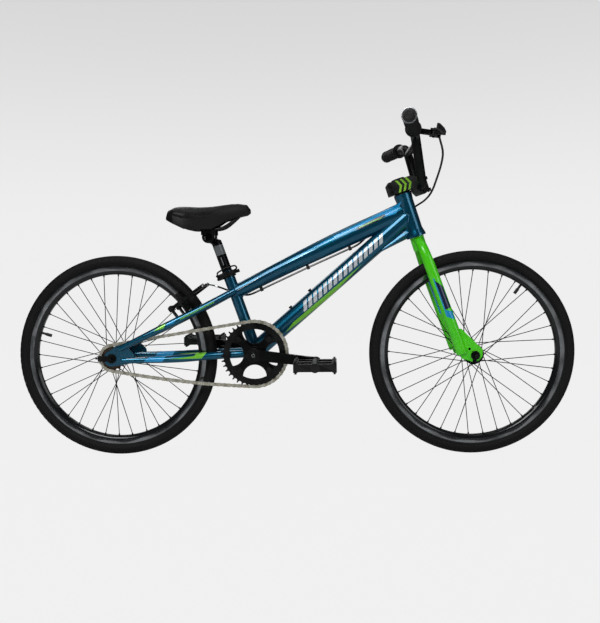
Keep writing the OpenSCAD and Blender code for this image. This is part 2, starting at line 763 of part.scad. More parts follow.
module rim(valve_angle) {
    difference() {
        rotate([90, 0, 0]) rotate_extrude($fn = 144) difference() {
            polygon([
                [rim_bed_r, -4], [rim_bed_r, 4], [rim_bed_r + 4, 7.5], [rim_bed_r + 8, rim_w / 2],
                [rim_r, rim_w / 2], [rim_r, well], [rim_r - 10, well], [rim_r - 12, well - 2],
                [rim_r - 12, 2 - well], [rim_r - 10, -well], [rim_r, -well], [rim_r, -rim_w / 2],
                [rim_bed_r + 8, -rim_w / 2], [rim_bed_r + 4, -7.5]]);
            polygon([
                [rim_bed_r + 2.2, -3], [rim_bed_r + 2.2, 3], [rim_bed_r + 5, 6], [rim_bed_r + 8.5, well],
                [rim_bed_r + 8.5, -well], [rim_bed_r + 5, -6]]);
        }
        rotate([0, -valve_angle, 0]) rotate([0, 90, 0])
            translate([0, 0, rim_bed_r - 5]) cylinder(r = 3.3, h = 30, $fn = 24);
        for (i = [0:spoke_count - 1]) at_spoke(i) cylinder(r = nipple_r + 0.25, h = 300, $fn = 24);
    }
}

hub_hole_r = 21;
flange_half_t = 1.4;
flange_r_out = 25;
front_flange_y = 31;
rear_flange_y = 29;
nipple_r = 1.9;
cross_deg = 60;
spoke_phase = 8.5;
flange_side = spoke_d / 2 + flange_half_t + 0.15;

// A spoke outside the flange leans in over its edge, so it starts further out
outer_extra = 2.5;

// Ends of spoke i: sides alternate, and on each side every other spoke leads or trails
function spoke_side(i) = i % 2 == 0 ? 1 : -1;
function spoke_lead(i) = floor(i / 2) % 2 == 0 ? 1 : -1;
function rim_angle(i) = spoke_phase + 360 * i / spoke_count;
function hub_angle(i) = rim_angle(i) + cross_deg * spoke_lead(i);
function side_off(i) = flange_side + (spoke_lead(i) > 0 ? outer_extra : 0);
function hub_end(i, fy) = [hub_hole_r * cos(hub_angle(i)),
    spoke_side(i) * (fy + side_off(i) * spoke_lead(i)), hub_hole_r * sin(hub_angle(i))];
function rim_end(i) = [(rim_bed_r + 5) * cos(rim_angle(i)), spoke_side(i) * 1.2, (rim_bed_r + 5) * sin(rim_angle(i))];

// Signed length of the bent end that passes through the flange
function elbow(i) = spoke_side(i) * spoke_lead(i) * (side_off(i) + flange_half_t + 1);

// Places a child at the rim end of spoke i, with its +Z along the spoke from 8 mm inside the bed
module at_spoke(i, fy = rear_flange_y) {
    a = rim_end(i) - unit(rim_end(i) - hub_end(i, fy)) * 9;
    d = rim_end(i) - hub_end(i, fy);
    translate(a) rotate([0, acos(d[2] / norm(d)), atan2(d[1], d[0])]) children();
}

module spokes(fy) {
    for (i = [0:spoke_count - 1]) union() {
        rod(hub_end(i, fy), rim_end(i), spoke_d / 2, 16);
        rod(hub_end(i, fy) + [0, sign(elbow(i)) * spoke_d / 2, 0], hub_end(i, fy) - [0, elbow(i), 0],
            spoke_d / 2 + 0.1, 16);
        at_spoke(i, fy) cylinder(r = nipple_r, h = 9.5, $fn = 16);
    }
}

// Hub shell with two flanges and a cartridge bearing at each end; stub is the thread for a freewheel
module hub(fy, end_y, stub) {
    difference() {
        union() {
            y_rod(12, -fy, fy);
            both() y_rod(flange_r_out, fy - flange_half_t, fy + flange_half_t);
            both() y_rod(14, fy - 6, end_y - 9);
            if (stub > 0) y_rod(stub, -end_y + 4, -fy);
        }
        y_rod(11, -end_y, end_y);
        for (i = [0:spoke_count - 1]) translate(hub_end(i, fy)) rotate([90, 0, 0])
            cylinder(r = spoke_d / 2 + 0.2, h = 20, center = true, $fn = 16);
    }
    both() y_ring(11, axle_r + running, end_y - 18, end_y - 10);
}

front_valve = 54;
rear_valve = 163;
stub_r = 15;

module front_tyre() color("#141414") at_front() tyre();
module rear_tyre() color("#141414") at_rear() tyre();
module front_inner_tube() color("#1a1a1a") at_front() inner_tube(front_valve);
module rear_inner_tube() color("#1a1a1a") at_rear() inner_tube(rear_valve);
module front_rim() color("#a9abae") at_front() rim(front_valve);
module rear_rim() color("#a9abae") at_rear() rim(rear_valve);
module front_spokes() color("#2a2b2d") at_front() spokes(front_flange_y);
module rear_spokes() color("#2a2b2d") at_rear() spokes(rear_flange_y);
module front_hub() color("#101112") at_front() hub(front_flange_y, front_spacing / 2, 0);
module rear_hub() color("#101112") at_rear() hub(rear_flange_y, rear_spacing / 2, stub_r);

// The axle passes this far beyond what it clamps
axle_past = 15.2;

// Axle with its cones between bearing and dropout, and washers and nuts outside
module axle(inner, plate_t, past) {
    y_rod(axle_r, -inner - plate_t - past, inner + plate_t + past);
    both() y_ring(8, axle_r, inner - 9, inner - 0.05);
    both() y_ring(11, axle_r, inner + plate_t + 0.05, inner + plate_t + 1.6);
    both() translate([0, inner + plate_t + 9.2, 0]) rotate([90, 0, 0]) difference() {
        cylinder(r = 9, h = 7.5, $fn = 6);
        translate([0, 0, -1]) cylinder(r = axle_r, h = 10, $fn = 32);
    }
}

module front_axle() color("#2b2c2e") at_front() axle(front_spacing / 2, fork_end_t, axle_past);
module rear_axle() color("#2b2c2e") at_rear() axle(drop_y, drop_t + tensioner_t, axle_past);

// Chain tensioner: a plate round the axle with a screw that bears on the dropout's end
tensioner_t = 2;

module chain_tensioners() color("#101112") at_rear() both() union() {
    difference() {
        y_plate(drop_y + drop_t + 0.05, drop_y + drop_t + tensioner_t) union() {
            circle(r = 12, $fn = 48);
            translate([-34, -7]) square([34, 14]);
        }
        y_rod(axle_r + 0.2, 0, 100);
    }
    translate([-34, drop_y + 0.3, -7]) cube([4, drop_t + tensioner_t - 0.5, 14]);
    translate([-41, drop_y + drop_t / 2, 0]) rotate([0, 90, 0]) cylinder(r = 2, h = 17, $fn = 24);
}

// ---------- chain, ring and cog ----------

pitch = 12.7;
roller_r = 3.9;
tooth_w = 2;
gap_r = roller_r + 0.7;
tooth_h = 2.7;
function pitch_r(n) = pitch / (2 * sin(180 / n));

// A toothed disc centred on the origin; a gap lies at angle phase
module toothed(n, bore, phase) {
    pr = pitch_r(n);
    y_plate(-tooth_w / 2, tooth_w / 2) difference() {
        circle(r = pr + tooth_h, $fn = 144);
        circle(r = bore, $fn = 64);
        for (i = [0:n - 1]) rotate(phase + 360 * i / n) union() {
            translate([pr, 0]) circle(r = gap_r, $fn = 20);
            polygon([[pr, -gap_r], [pr + 8, -6.3], [pr + 8, 6.3], [pr, gap_r]]);
        }
    }
}

ring_pr = pitch_r(ring_teeth);
cog_pr = pitch_r(cog_teeth);
line_tilt = atan2(bb_height - axle_z, bb_x - rear_x);
wrap_tilt = asin((ring_pr - cog_pr) / chain_stay_len);
run_len = sqrt(pow(chain_stay_len, 2) - pow(ring_pr - cog_pr, 2));
ring_wrap = 180 + 2 * wrap_tilt;
cog_wrap = 180 - 2 * wrap_tilt;
taut_links = 2 * run_len / pitch + ring_wrap * ring_teeth / 360 + cog_wrap * cog_teeth / 360;
link_count = 2 * ceil(taut_links / 2 - 0.001);
slack = (link_count - taut_links) * pitch;
low_links = run_len / pitch + (link_count - taut_links);
low_sag = sqrt(3 * run_len * slack / 8);
ring_top = line_tilt + 90 + wrap_tilt;

// Centre of the pin at u links along the chain, counted from where it leaves the ring's top
function on_circle(c, r, a) = [c[0] + r * cos(a), c[1] + r * sin(a)];
bb_c = [bb_x, bb_height];
rear_c = [rear_x, axle_z];
run_n = run_len / pitch;
cog_n = cog_wrap * cog_teeth / 360;
top_a = on_circle(bb_c, ring_pr, ring_top);
top_b = on_circle(rear_c, cog_pr, ring_top);
low_a = on_circle(rear_c, cog_pr, ring_top + cog_wrap);
low_b = on_circle(bb_c, ring_pr, ring_top + cog_wrap);
function pin_at(u) =
    u < run_n ? mix(top_a, top_b, u / run_n)
    : u < run_n + cog_n ? on_circle(rear_c, cog_pr, ring_top + (u - run_n) * 360 / cog_teeth)
    : u < run_n + cog_n + low_links ? let (t = (u - run_n - cog_n) / low_links)
        mix(low_a, low_b, t) - [0, 4 * low_sag * t * (1 - t)]
    : on_circle(bb_c, ring_pr, ring_top + cog_wrap + (u - run_n - cog_n - low_links) * 360 / ring_teeth);

// The first pin sits on the ring, one eighth of a link before it leaves
chain_u0 = link_count - 0.125;
function pin(k) = pin_at((chain_u0 + k) % link_count);

// Angles at which a gap must lie so that the rollers sit in the teeth
ring_phase = ring_top - 0.125 * 360 / ring_teeth;
cog_first = ceil(run_n + 0.125) - 0.125;
cog_phase = ring_top + (cog_first - run_n) * 360 / cog_teeth;

plate_r = 4.2;
plate_t = 1;
inner_y = 1.55;

module link_plate(y0) {
    y_plate(y0, y0 + plate_t) union() {
        circle(r = plate_r, $fn = 24);
        translate([pitch, 0]) circle(r = plate_r, $fn = 24);
        translate([0, -plate_r * 0.82]) square([pitch, plate_r * 1.64]);
    }
}

module outer_link() union() {
    link_plate(inner_y + plate_t + 0.1);
    link_plate(-inner_y - 2 * plate_t - 0.1);
    for (x = [0, pitch]) translate([x, 0, 0])
        y_rod(1.8, -inner_y - 2 * plate_t - 0.6, inner_y + 2 * plate_t + 0.6);
}

module inner_link() difference() {
    union() {
        link_plate(inner_y);
        link_plate(-inner_y - plate_t);
        for (x = [0, pitch]) translate([x, 0, 0]) y_rod(roller_r, -inner_y, inner_y);
    }
    for (x = [0, pitch]) translate([x, 0, 0]) y_rod(1.85, -5, 5);
}

module chain() color("#8f8a78") for (k = [0:link_count - 1]) {
    a = pin(k);
    b = pin(k + 1);
    translate([a[0], -chain_line, a[1]]) rotate([0, -atan2(b[1] - a[1], b[0] - a[0]), 0])
        if (k % 2 == 0) inner_link(); else outer_link();
}

// Freewheel: toothed rim on a body that turns on the hub's stub
module freewheel_cog() color("#6b5642") at_rear() translate([0, -chain_line, 0]) union() {
    toothed(cog_teeth, stub_r + running + 4, cog_phase);
    y_ring(cog_pr - 6, stub_r + running, -3.5, 3.5);
}

// ---------- cranks and pedals ----------

crank_drop = 7;    // the right arm points forwards and this far below the horizontal, degrees
window_count = 4;
window_phase = -90;
window_out_r = 61.5;
window_half_w = 29;
window_in_r = 26.5;
spider_r = 52;
ring_bolt_r = 4;
half_step = 180 / window_count;
arm_end = [crank_len * cos(crank_drop), -crank_len * sin(crank_drop)];

// The ring's face is open in rounded windows between its bolts
module chainring() color("#121314") at_bb() translate([0, -chain_line, 0]) difference() {
    union() {
        toothed(ring_teeth, 12, ring_phase);
        y_ring(20, spindle_r, -5, 5);
    }
    y_rod(spindle_r, -10, 10);
    for (i = [0:window_count - 1]) rotate([0, -(window_phase + 2 * half_step * i), 0])
        y_plate(-10, 10) intersection() {
            circle(r = window_out_r, $fn = 96);
            translate([window_in_r + window_half_w, 0]) circle(r = window_half_w, $fn = 96);
        }
    at_ring_bolts() y_rod(ring_bolt_r + 0.1, -10, 10);
}

module at_ring_bolts() {
    for (i = [0:window_count - 1]) rotate([0, -(window_phase + half_step * (2 * i + 1)), 0])
        translate([spider_r, 0, 0]) children();
}

crank_boss_r = 17;
crank_eye_r = 13;

// One arm along +X, outside the inner face crank_in
module crank_arm() {
    y_rod(crank_boss_r, crank_in, crank_in + arm_t);
    translate([crank_len, 0, 0]) y_rod(crank_eye_r, crank_in, crank_in + arm_t);
    y_plate(crank_in + 0.5, crank_in + arm_t - 0.5) polygon([
        [0, 15], [26, 13], [crank_len - 20, 11.5], [crank_len, 12.5],
        [crank_len, -12.5], [crank_len - 20, -11.5], [26, -13], [0, -15]]);
}

// Bores of one arm, for the spindle and for the pedal axle
module crank_bores() {
    y_rod(spindle_r, -100, 100);
    translate([crank_len, 0, 0]) y_rod(pedal_axle_r, -100, 100);
}

module spider() {
    for (i = [0:window_count - 1]) rotate(window_phase + half_step * (2 * i + 1)) polygon([
        [8, -9], [spider_r - 6, -7], [spider_r + 7, -6], [spider_r + 7, 6], [spider_r - 6, 7], [8, 9]]);
}

spider_y = chain_line + 5 + weld_gap;

module right_crank() color("#131415") at_bb() difference() {
    union() {
        rotate([0, crank_drop, 0]) mirror([0, 1, 0]) crank_arm();
        y_rod(20, -crank_in - 1, -spider_y);
        y_plate(-crank_in, -spider_y - 0.5) spider();
    }
    rotate([0, crank_drop, 0]) crank_bores();
    at_ring_bolts() y_rod(ring_bolt_r + 0.1, -100, 100);
}

module left_crank() color("#131415") at_bb() rotate([0, 180 + crank_drop, 0]) difference() {
    crank_arm();
    crank_bores();
}

module crank_bolts() color("#b9bbbe") at_bb() {
    both() y_rod(8, spindle_half + 0.05, spindle_half + 4);
    at_ring_bolts() union() {
        y_rod(ring_bolt_r, -crank_in - 0.2, -chain_line + tooth_w / 2 + 0.2);
        y_rod(6, -crank_in - 2.2, -crank_in - 0.2);
        y_rod(6, -chain_line + tooth_w / 2 + 0.2, -chain_line + tooth_w / 2 + 1.6);
    }
}

pedal_axle_r = 7;
pedal_gap = 4;
pedal_y0 = crank_in + arm_t + pedal_gap;
pedal_h = 30;

module pedal_axle() {
    y_rod(pedal_axle_r, crank_in + 0.5, crank_in + arm_t + 1);
    y_rod(9, crank_in + arm_t + 0.1, pedal_y0 - 0.3);
    y_rod(5, crank_in + arm_t, pedal_y0 + pedal_w - 8);
}

module pedal_axles() color("#3a3c40") at_bb() {
    translate([arm_end[0], 0, arm_end[1]]) mirror([0, 1, 0]) pedal_axle();
    translate([-arm_end[0], 0, -arm_end[1]]) pedal_axle();
}

// Platform pedal: a barrel on the axle, two end plates and a toothed bar front and back
module pedal() {
    difference() {
        union() {
            y_rod(11, pedal_y0, pedal_y0 + pedal_w);
            for (x = [-1, 1]) translate([x * (pedal_len / 2 - 5) - 5, pedal_y0 + 4, -pedal_h / 2 + 4])
                cube([10, pedal_w - 8, pedal_h - 8]);
            for (y = [pedal_y0 + 2, pedal_y0 + pedal_w / 2 - 5, pedal_y0 + pedal_w - 12])
                translate([-pedal_len / 2 + 2, y, -9]) cube([pedal_len - 4, 10, 18]);
            for (x = [-1, 1]) for (k = [0:7]) translate([x * (pedal_len / 2 - 5), pedal_y0 + 9 + k * (pedal_w - 18) / 7, 0])
                cylinder(r = 2.6, h = pedal_h, center = true, $fn = 16);
        }
        y_rod(5 + running, pedal_y0 - 1, pedal_y0 + pedal_w - 7);
    }
}

module right_pedal() color("#161718") at_bb()
    translate([arm_end[0], 0, arm_end[1]]) mirror([0, 1, 0]) pedal();
module left_pedal() color("#161718") at_bb() translate([-arm_end[0], 0, -arm_end[1]]) pedal();

// ---------- rim brake ----------

brake_angle = 36;
brake_r = 190;
boss_y = 42;
boss_r = 4;
boss_len = 44;
boss_z = -4;
brake_gap = 2;
brake_arm_len = 100;

// Brake frame: +X out along a spoke from the rear axle, Y across the bike, +Z along the brake bosses
module at_brake() { at_rear() rotate([0, -brake_angle, 0]) children(); }
module at_boss_axis() { at_brake() translate([brake_r, boss_y, boss_z]) children(); }

arm_z0 = 4;
arm_z1 = 16;
pad_x = rim_r - 9.5 - brake_r;

module brake_arm() at_brake() translate([brake_r, 0, 0]) difference() {
    union() {
        translate([0, boss_y, arm_z0]) cylinder(r = 7.5, h = arm_z1 - arm_z0, $fn = 32);
        translate([0, boss_y - 5, arm_z0 + 2]) cube([pad_x + 8, 10, 8]);
        translate([pad_x, boss_y - 8, arm_z0 + 1]) cylinder(r = 9, h = 10, $fn = 32);
        hull() {
            translate([pad_x + 4, boss_y - 4, arm_z0 + 2]) cube([6, 9, 8]);
            translate([brake_arm_len - 8, boss_y - 10, arm_z0 + 2]) cube([8, 8, 8]);
        }
    }
    translate([0, boss_y, -30]) cylinder(r = boss_r + running, h = 60, $fn = 32);
    translate([pad_x, 0, arm_z0 + 6]) y_rod(3.1, 0, 80);
    translate([brake_arm_len - 4, 0, arm_z0 + 6]) y_rod(2.6, 0, 80);
}

module brake_pad() at_brake() translate([brake_r + pad_x, 0, arm_z0 + 6]) union() {
    translate([-5, rim_w / 2 + brake_gap, -25]) cube([10, 8, 50]);
    y_rod(3, rim_w / 2 + brake_gap + 7, boss_y + 9);
    y_rod(6, boss_y + 5.3, boss_y + 10);
}

module right_brake_arm() color("#141516") mirror([0, 1, 0]) brake_arm();
module left_brake_arm() color("#141516") brake_arm();
module right_brake_pad() color("#222325") mirror([0, 1, 0]) brake_pad();
module left_brake_pad() color("#222325") brake_pad();

// Curved guide tube at the end of the housing, and its bellows
noodle_x = brake_r + brake_arm_len - 4;
function from_brake(p) = [rear_x + p[0] * cos(brake_angle) - p[2] * sin(brake_angle), p[1],
    axle_z + p[0] * sin(brake_angle) + p[2] * cos(brake_angle)];
noodle_top = from_brake([noodle_x, 0, arm_z0 + 6]);
noodle_pts = bend([
    cable_exit + cable_exit_dir * 0.4, cable_exit + cable_exit_dir * 10,
    noodle_top + [0, boss_y + 11, 0], noodle_top + [0, boss_y - 12, 0]], 12, 4);

module brake_noodle() color("#b4b6b8") union() {
    pipe(noodle_pts, 2.2, 8);
    at_brake() translate([noodle_x, 0, arm_z0 + 6]) y_rod(4, 10, boss_y - 10.5);
}

// ---------- seatpost and saddle ----------

head_back = 13;
post_top = on_seat(post_head_s);
clamp_c = [post_top[0] - head_back, 0, post_top[2] + 1];
cradle_r = 10;

module seatpost() color("#17181a") union() {
    at_seat() translate([0, 0, post_head_s - post_len]) cylinder(r = post_r, h = post_len - 14, $fn = 64);
    hull() {
        at_seat() translate([0, 0, post_head_s - 16]) cylinder(r = post_r - 0.3, h = 6, $fn = 32);
        translate(clamp_c + [2, 0, -5]) rotate([90, 0, 0]) cylinder(r = 6, h = 24, center = true, $fn = 32);
    }
    translate(clamp_c) y_rod(cradle_r, -17, 17);
}

rail_y = 22;
rail_r = 3.5;
rail_z = clamp_c[2] + cradle_r + 9;

// Clamp that grips the rails and turns on the round head of the post
module saddle_clamp() color("#1b1c1e") translate(clamp_c) difference() {
    union() {
        both() y_ring(cradle_r + 5, cradle_r + running, 17.5, 27);
        both() translate([-17, 17.5, 5]) cube([34, 9.5, 14]);
        translate([-8, -26, 12.5]) cube([16, 52, 9]);
    }
    both() translate([-60, rail_y, cradle_r + 9]) rotate([0, 90, 0]) cylinder(r = rail_r, h = 120, $fn = 32);
    y_rod(cradle_r + running, -30, 30);
}

saddle_back = 105;
saddle_rear = clamp_c[0] - saddle_back;
saddle_nose = saddle_rear + saddle_len;

rail_path = bend([
    [saddle_rear + 16, 26, rail_z + 26], [saddle_rear + 56, rail_y, rail_z],
    [clamp_c[0] + 34, rail_y, rail_z], [clamp_c[0] + 62, 12, rail_z + 20],
    [saddle_nose - 22, 6, rail_z + 38]], 18, 5);

module saddle_rails() color("#2c2d30") both() pipe(rail_path, rail_r, 12);

// Half width, top and bottom of the saddle at stations from the rear, as shares of its length
saddle_st = [
    [0, 0.30, 0.13, 0.075], [0.04, 0.72, 0.19, 0.06], [0.12, 0.95, 0.222, 0.018], [0.25, 1.0, 0.222, -0.045],
    [0.4, 0.82, 0.213, -0.052], [0.55, 0.5, 0.22, -0.045], [0.7, 0.33, 0.24, 0.045],
    [0.85, 0.25, 0.256, 0.093], [0.96, 0.2, 0.24, 0.115], [1, 0.1, 0.185, 0.14]];
saddle_z = 577;
saddle_arc = 12;
shell_side = 5;
shell_top = 9;

// Closed loft over the stations first to last; each section is a round back on a flat base
module saddle_loft(first, last, side, top, low) {
    n = saddle_arc + 1;
    pts = [for (i = [first:last]) for (k = [0:n - 1]) let (
        q = saddle_st[i], a = 180 * k / saddle_arc, w = q[1] * saddle_w / 2 - side,
        z0 = saddle_z + q[3] * saddle_len - low, z1 = saddle_z + q[2] * saddle_len - top,
        c = sign(cos(a)) * pow(abs(cos(a)), 0.75), h = pow(max(0, sin(a)), 0.7))
        [saddle_rear + q[0] * saddle_len, w * c, z0 + (z1 - z0) * h]];
    m = last - first + 1;
    walls = [for (i = [0:m - 2]) for (k = [0:n - 1]) let (j = (k + 1) % n)
        each [[i * n + k, (i + 1) * n + j, i * n + j], [i * n + k, (i + 1) * n + k, (i + 1) * n + j]]];
    polyhedron(pts, concat(walls, [[for (k = [0:n - 1]) k], [for (k = [n - 1:-1:0]) (m - 1) * n + k]]));
}

// The underside is hollow for the rails and clamp, between a solid rear and a solid nose
module saddle() color("#121212") difference() {
    saddle_loft(0, len(saddle_st) - 1, 0, 0, 0);
    saddle_loft(2, len(saddle_st) - 3, shell_side, shell_top, 4);
}

head_tube();
top_tube();
down_tube();
seat_tube();
bb_shell();
chain_stays();
seat_stays();
rear_dropouts();
headset_bearings();
bb_bearings();
seat_clamp();
rear_axle();
chain_tensioners();
chain();
cable_guides();
brake_cable_rear();
bottle_bolts();
fork_steerer();
fork_legs();
fork_dropouts();
headset_cover();
stem();
stem_faceplate();
stem_bolts();
handlebar();
grips();
bar_end_plugs();
brake_lever_bracket();
front_axle();
brake_cable_front();
front_tyre();
front_inner_tube();
front_rim();
front_spokes();
front_hub();
rear_tyre();
rear_inner_tube();
rear_rim();
rear_spokes();
rear_hub();
freewheel_cog();
chainring();
right_crank();
left_crank();
bb_spindle();
crank_bolts();
pedal_axles();
right_pedal();
left_pedal();
brake_lever_blade();
right_brake_arm();
left_brake_arm();
right_brake_pad();
left_brake_pad();
brake_noodle();
seat_clamp_lever();
seatpost();
saddle_clamp();
saddle_rails();
saddle();
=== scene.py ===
"""Looks of a junior BMX race bike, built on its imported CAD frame.

Every length is in millimetres until a mesh is written, and every position comes from the CAD
nodes' own boxes. +X runs forwards, +Y to the rider's left and +Z up.
"""

import sys

import json
import logging
import math
from collections.abc import Callable, Sequence
from dataclasses import dataclass, field
from enum import Enum

import bmesh
import bpy
from mathutils import Matrix, Vector
from mathutils.bvhtree import BVHTree

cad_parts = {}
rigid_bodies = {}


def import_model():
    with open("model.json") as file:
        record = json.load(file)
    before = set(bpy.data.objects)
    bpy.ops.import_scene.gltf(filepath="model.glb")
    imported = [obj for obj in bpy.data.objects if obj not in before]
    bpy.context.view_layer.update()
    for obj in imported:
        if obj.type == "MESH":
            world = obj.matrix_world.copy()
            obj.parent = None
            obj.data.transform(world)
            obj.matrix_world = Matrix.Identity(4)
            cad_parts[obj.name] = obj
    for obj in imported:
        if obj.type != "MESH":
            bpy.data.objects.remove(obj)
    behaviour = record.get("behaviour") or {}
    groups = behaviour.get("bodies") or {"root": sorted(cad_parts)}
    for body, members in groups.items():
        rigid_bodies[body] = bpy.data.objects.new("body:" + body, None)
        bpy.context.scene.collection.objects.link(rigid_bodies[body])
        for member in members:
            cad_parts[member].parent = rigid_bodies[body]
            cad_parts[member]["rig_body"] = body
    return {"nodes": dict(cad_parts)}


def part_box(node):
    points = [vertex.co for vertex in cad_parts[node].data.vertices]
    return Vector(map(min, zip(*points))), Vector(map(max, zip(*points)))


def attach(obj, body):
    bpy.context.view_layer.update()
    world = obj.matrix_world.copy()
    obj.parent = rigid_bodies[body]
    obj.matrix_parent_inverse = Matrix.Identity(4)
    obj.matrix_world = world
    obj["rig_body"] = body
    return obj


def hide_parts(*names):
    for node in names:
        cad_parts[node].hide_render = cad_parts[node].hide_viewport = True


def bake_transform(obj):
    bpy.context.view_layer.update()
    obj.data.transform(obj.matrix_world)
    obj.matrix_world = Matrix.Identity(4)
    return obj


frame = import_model()

LOG = logging.getLogger("bike")
MM = 0.001
Rgb = tuple[float, float, float]
Point = tuple[float, float]


def rgb(code: str) -> Rgb:
    """Turn a hex colour into linear red, green and blue."""
    parts = [int(code[i : i + 2], 16) / 255 for i in (0, 2, 4)]
    return tuple(c / 12.92 if c <= 0.04045 else ((c + 0.055) / 1.055) ** 2.4 for c in parts)


# ---------- places ----------


def middle(node: str) -> Vector:
    """Middle of a CAD node's box, in millimetres."""
    low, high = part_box(node)
    return (low + high) / (2 * MM)


@dataclass(frozen=True)
class Layout:
    """Main points and leans of the bike, in millimetres and degrees."""

    head_lean: float = 18.0
    seat_lean: float = 19.0
    fork_rake: float = 38.0
    rear: Vector = field(default_factory=lambda: middle("rear_hub"))
    front: Vector = field(default_factory=lambda: middle("front_hub"))
    bb: Vector = field(default_factory=lambda: middle("bb_shell"))

    def steer(self, x: float, y: float, z: float) -> Vector:
        """Place a point given forwards of, beside and up the steering axis."""
        lean = math.radians(self.head_lean)
        dx = x - self.fork_rake
        return self.front + Vector(
            (dx * math.cos(lean) - z * math.sin(lean), y, dx * math.sin(lean) + z * math.cos(lean))
        )

    def seat(self, s: float, x: float = 0.0, y: float = 0.0) -> Vector:
        """Place a point given up the seat tube, forwards of it and beside it."""
        lean = math.radians(self.seat_lean)
        return self.bb + Vector(
            (x * math.cos(lean) - s * math.sin(lean), y, s * math.cos(lean) + x * math.sin(lean))
        )

    @property
    def steer_axis(self) -> Vector:
        """Direction up the steering axis."""
        return (self.steer(0, 0, 1) - self.steer(0, 0, 0)).normalized()

    @property
    def seat_axis(self) -> Vector:
        """Direction up the seat tube."""
        return (self.seat(1) - self.seat(0)).normalized()


PLACES = Layout()


# ---------- materials ----------


class Graph:
    """Small builder for one material's node tree."""

    def __init__(self, name: str) -> None:
        """Start an empty material that holds one surface shader.

        Args:
            name: Name of the material.
        """
        self.material = bpy.data.materials.new(name)
        self.material.use_nodes = True
        self.tree = self.material.node_tree
        self.tree.nodes.clear()
        self.out = self.tree.nodes.new("ShaderNodeOutputMaterial")
        self.shader = self.tree.nodes.new("ShaderNodeBsdfPrincipled")
        self.tree.links.new(self.shader.outputs[0], self.out.inputs[0])
        self.place = self.add("ShaderNodeTexCoord").outputs["Object"]

    def add(self, kind: str, **settings: object) -> bpy.types.Node:
        """Add a node and set its plain properties.

        Args:
            kind: Node type.
            **settings: Property values by name.

        Returns:
            The new node.
        """
        node = self.tree.nodes.new(kind)
        for key, value in settings.items():
            setattr(node, key, value)
        return node

    def put(self, socket: bpy.types.NodeSocket, value: object) -> None:
        """Link a socket into another one, or set its plain value."""
        if isinstance(value, bpy.types.NodeSocket):
            self.tree.links.new(value, socket)
        elif isinstance(value, (tuple, Vector)) and socket.type == "RGBA":
            socket.default_value = (*value, 1.0)
        else:
            socket.default_value = value

    def math(self, kind: str, *values: object) -> bpy.types.NodeSocket:
        """Combine numbers with one math node.

        Args:
            kind: Operation of the node.
            *values: Sockets or numbers, in order.

        Returns:
            The result's socket.
        """
        node = self.add("ShaderNodeMath", operation=kind)
        for socket, value in zip(node.inputs, values):
            self.put(socket, value)
        return node.outputs[0]

    def span(self, value: object, low: float, high: float, start: float = 0, end: float = 1) -> object:
        """Map a number from one range to another and hold it inside.

        Args:
            value: Socket that is mapped.
            low: Lower end of its range.
            high: Upper end of its range.
            start: Result at the lower end.
            end: Result at the upper end.

        Returns:
            The result's socket.
        """
        node = self.add("ShaderNodeMapRange")
        names = ("Value", "From Min", "From Max", "To Min", "To Max")
        for name, number in zip(names, (value, low, high, start, end)):
            self.put(node.inputs[name], number)
        return node.outputs[0]

    def mix(self, share: object, first: object, second: object) -> bpy.types.NodeSocket:
        """Blend two colours.

        Args:
            share: How much of the second colour shows.
            first: Colour or socket.
            second: Colour or socket.

        Returns:
            The blended colour's socket.
        """
        node = self.add("ShaderNodeMix", data_type="RGBA")
        for index, value in ((0, share), (6, first), (7, second)):
            self.put(node.inputs[index], value)
        return node.outputs[2]

    def dot(self, direction: Vector, origin: Vector) -> bpy.types.NodeSocket:
        """Distance along a direction from an origin, both in millimetres.

        Args:
            direction: Unit direction.
            origin: Point where the distance is nought.

        Returns:
            The distance's socket, in millimetres.
        """
        node = self.add("ShaderNodeVectorMath", operation="DOT_PRODUCT")
        self.put(node.inputs[0], self.place)
        node.inputs[1].default_value = direction / MM
        return self.math("SUBTRACT", node.outputs["Value"], direction.dot(origin))

    def noise(self, size: float, detail: float = 2, stretch: tuple[float, float, float] = (1, 1, 1)) -> object:
        """Noise from 0 to 1 whose lumps are about the given size.

        Args:
            size: Size of a lump, in millimetres.
            detail: Finer layers on top.
            stretch: How many times longer the lumps are along each axis.

        Returns:
            The noise's socket.
        """
        mapping = self.add("ShaderNodeMapping")
        self.put(mapping.inputs["Vector"], self.place)
        mapping.inputs["Scale"].default_value = [1 / s for s in stretch]
        node = self.add("ShaderNodeTexNoise")
        self.put(node.inputs["Vector"], mapping.outputs[0])
        node.inputs["Scale"].default_value = 1 / (size * MM)
        node.inputs["Detail"].default_value = detail
        return node.outputs[0]

    def bump(self, height: object, depth: float, under: object = None) -> bpy.types.NodeSocket:
        """Turn a height from 0 to 1 into a normal.

        Args:
            height: Socket of the height.
            depth: Real height in millimetres.
            under: Normal of a bump below this one.

        Returns:
            The normal's socket.
        """
        node = self.add("ShaderNodeBump")
        node.inputs["Distance"].default_value = depth * MM
        self.put(node.inputs["Height"], height)
        if under is not None:
            self.put(node.inputs["Normal"], under)
        return node.outputs[0]


@dataclass(frozen=True)
class Plane:
    """Flat frame that painted marks are drawn in: an origin and two directions."""

    origin: Vector
    along: Vector
    across: Vector


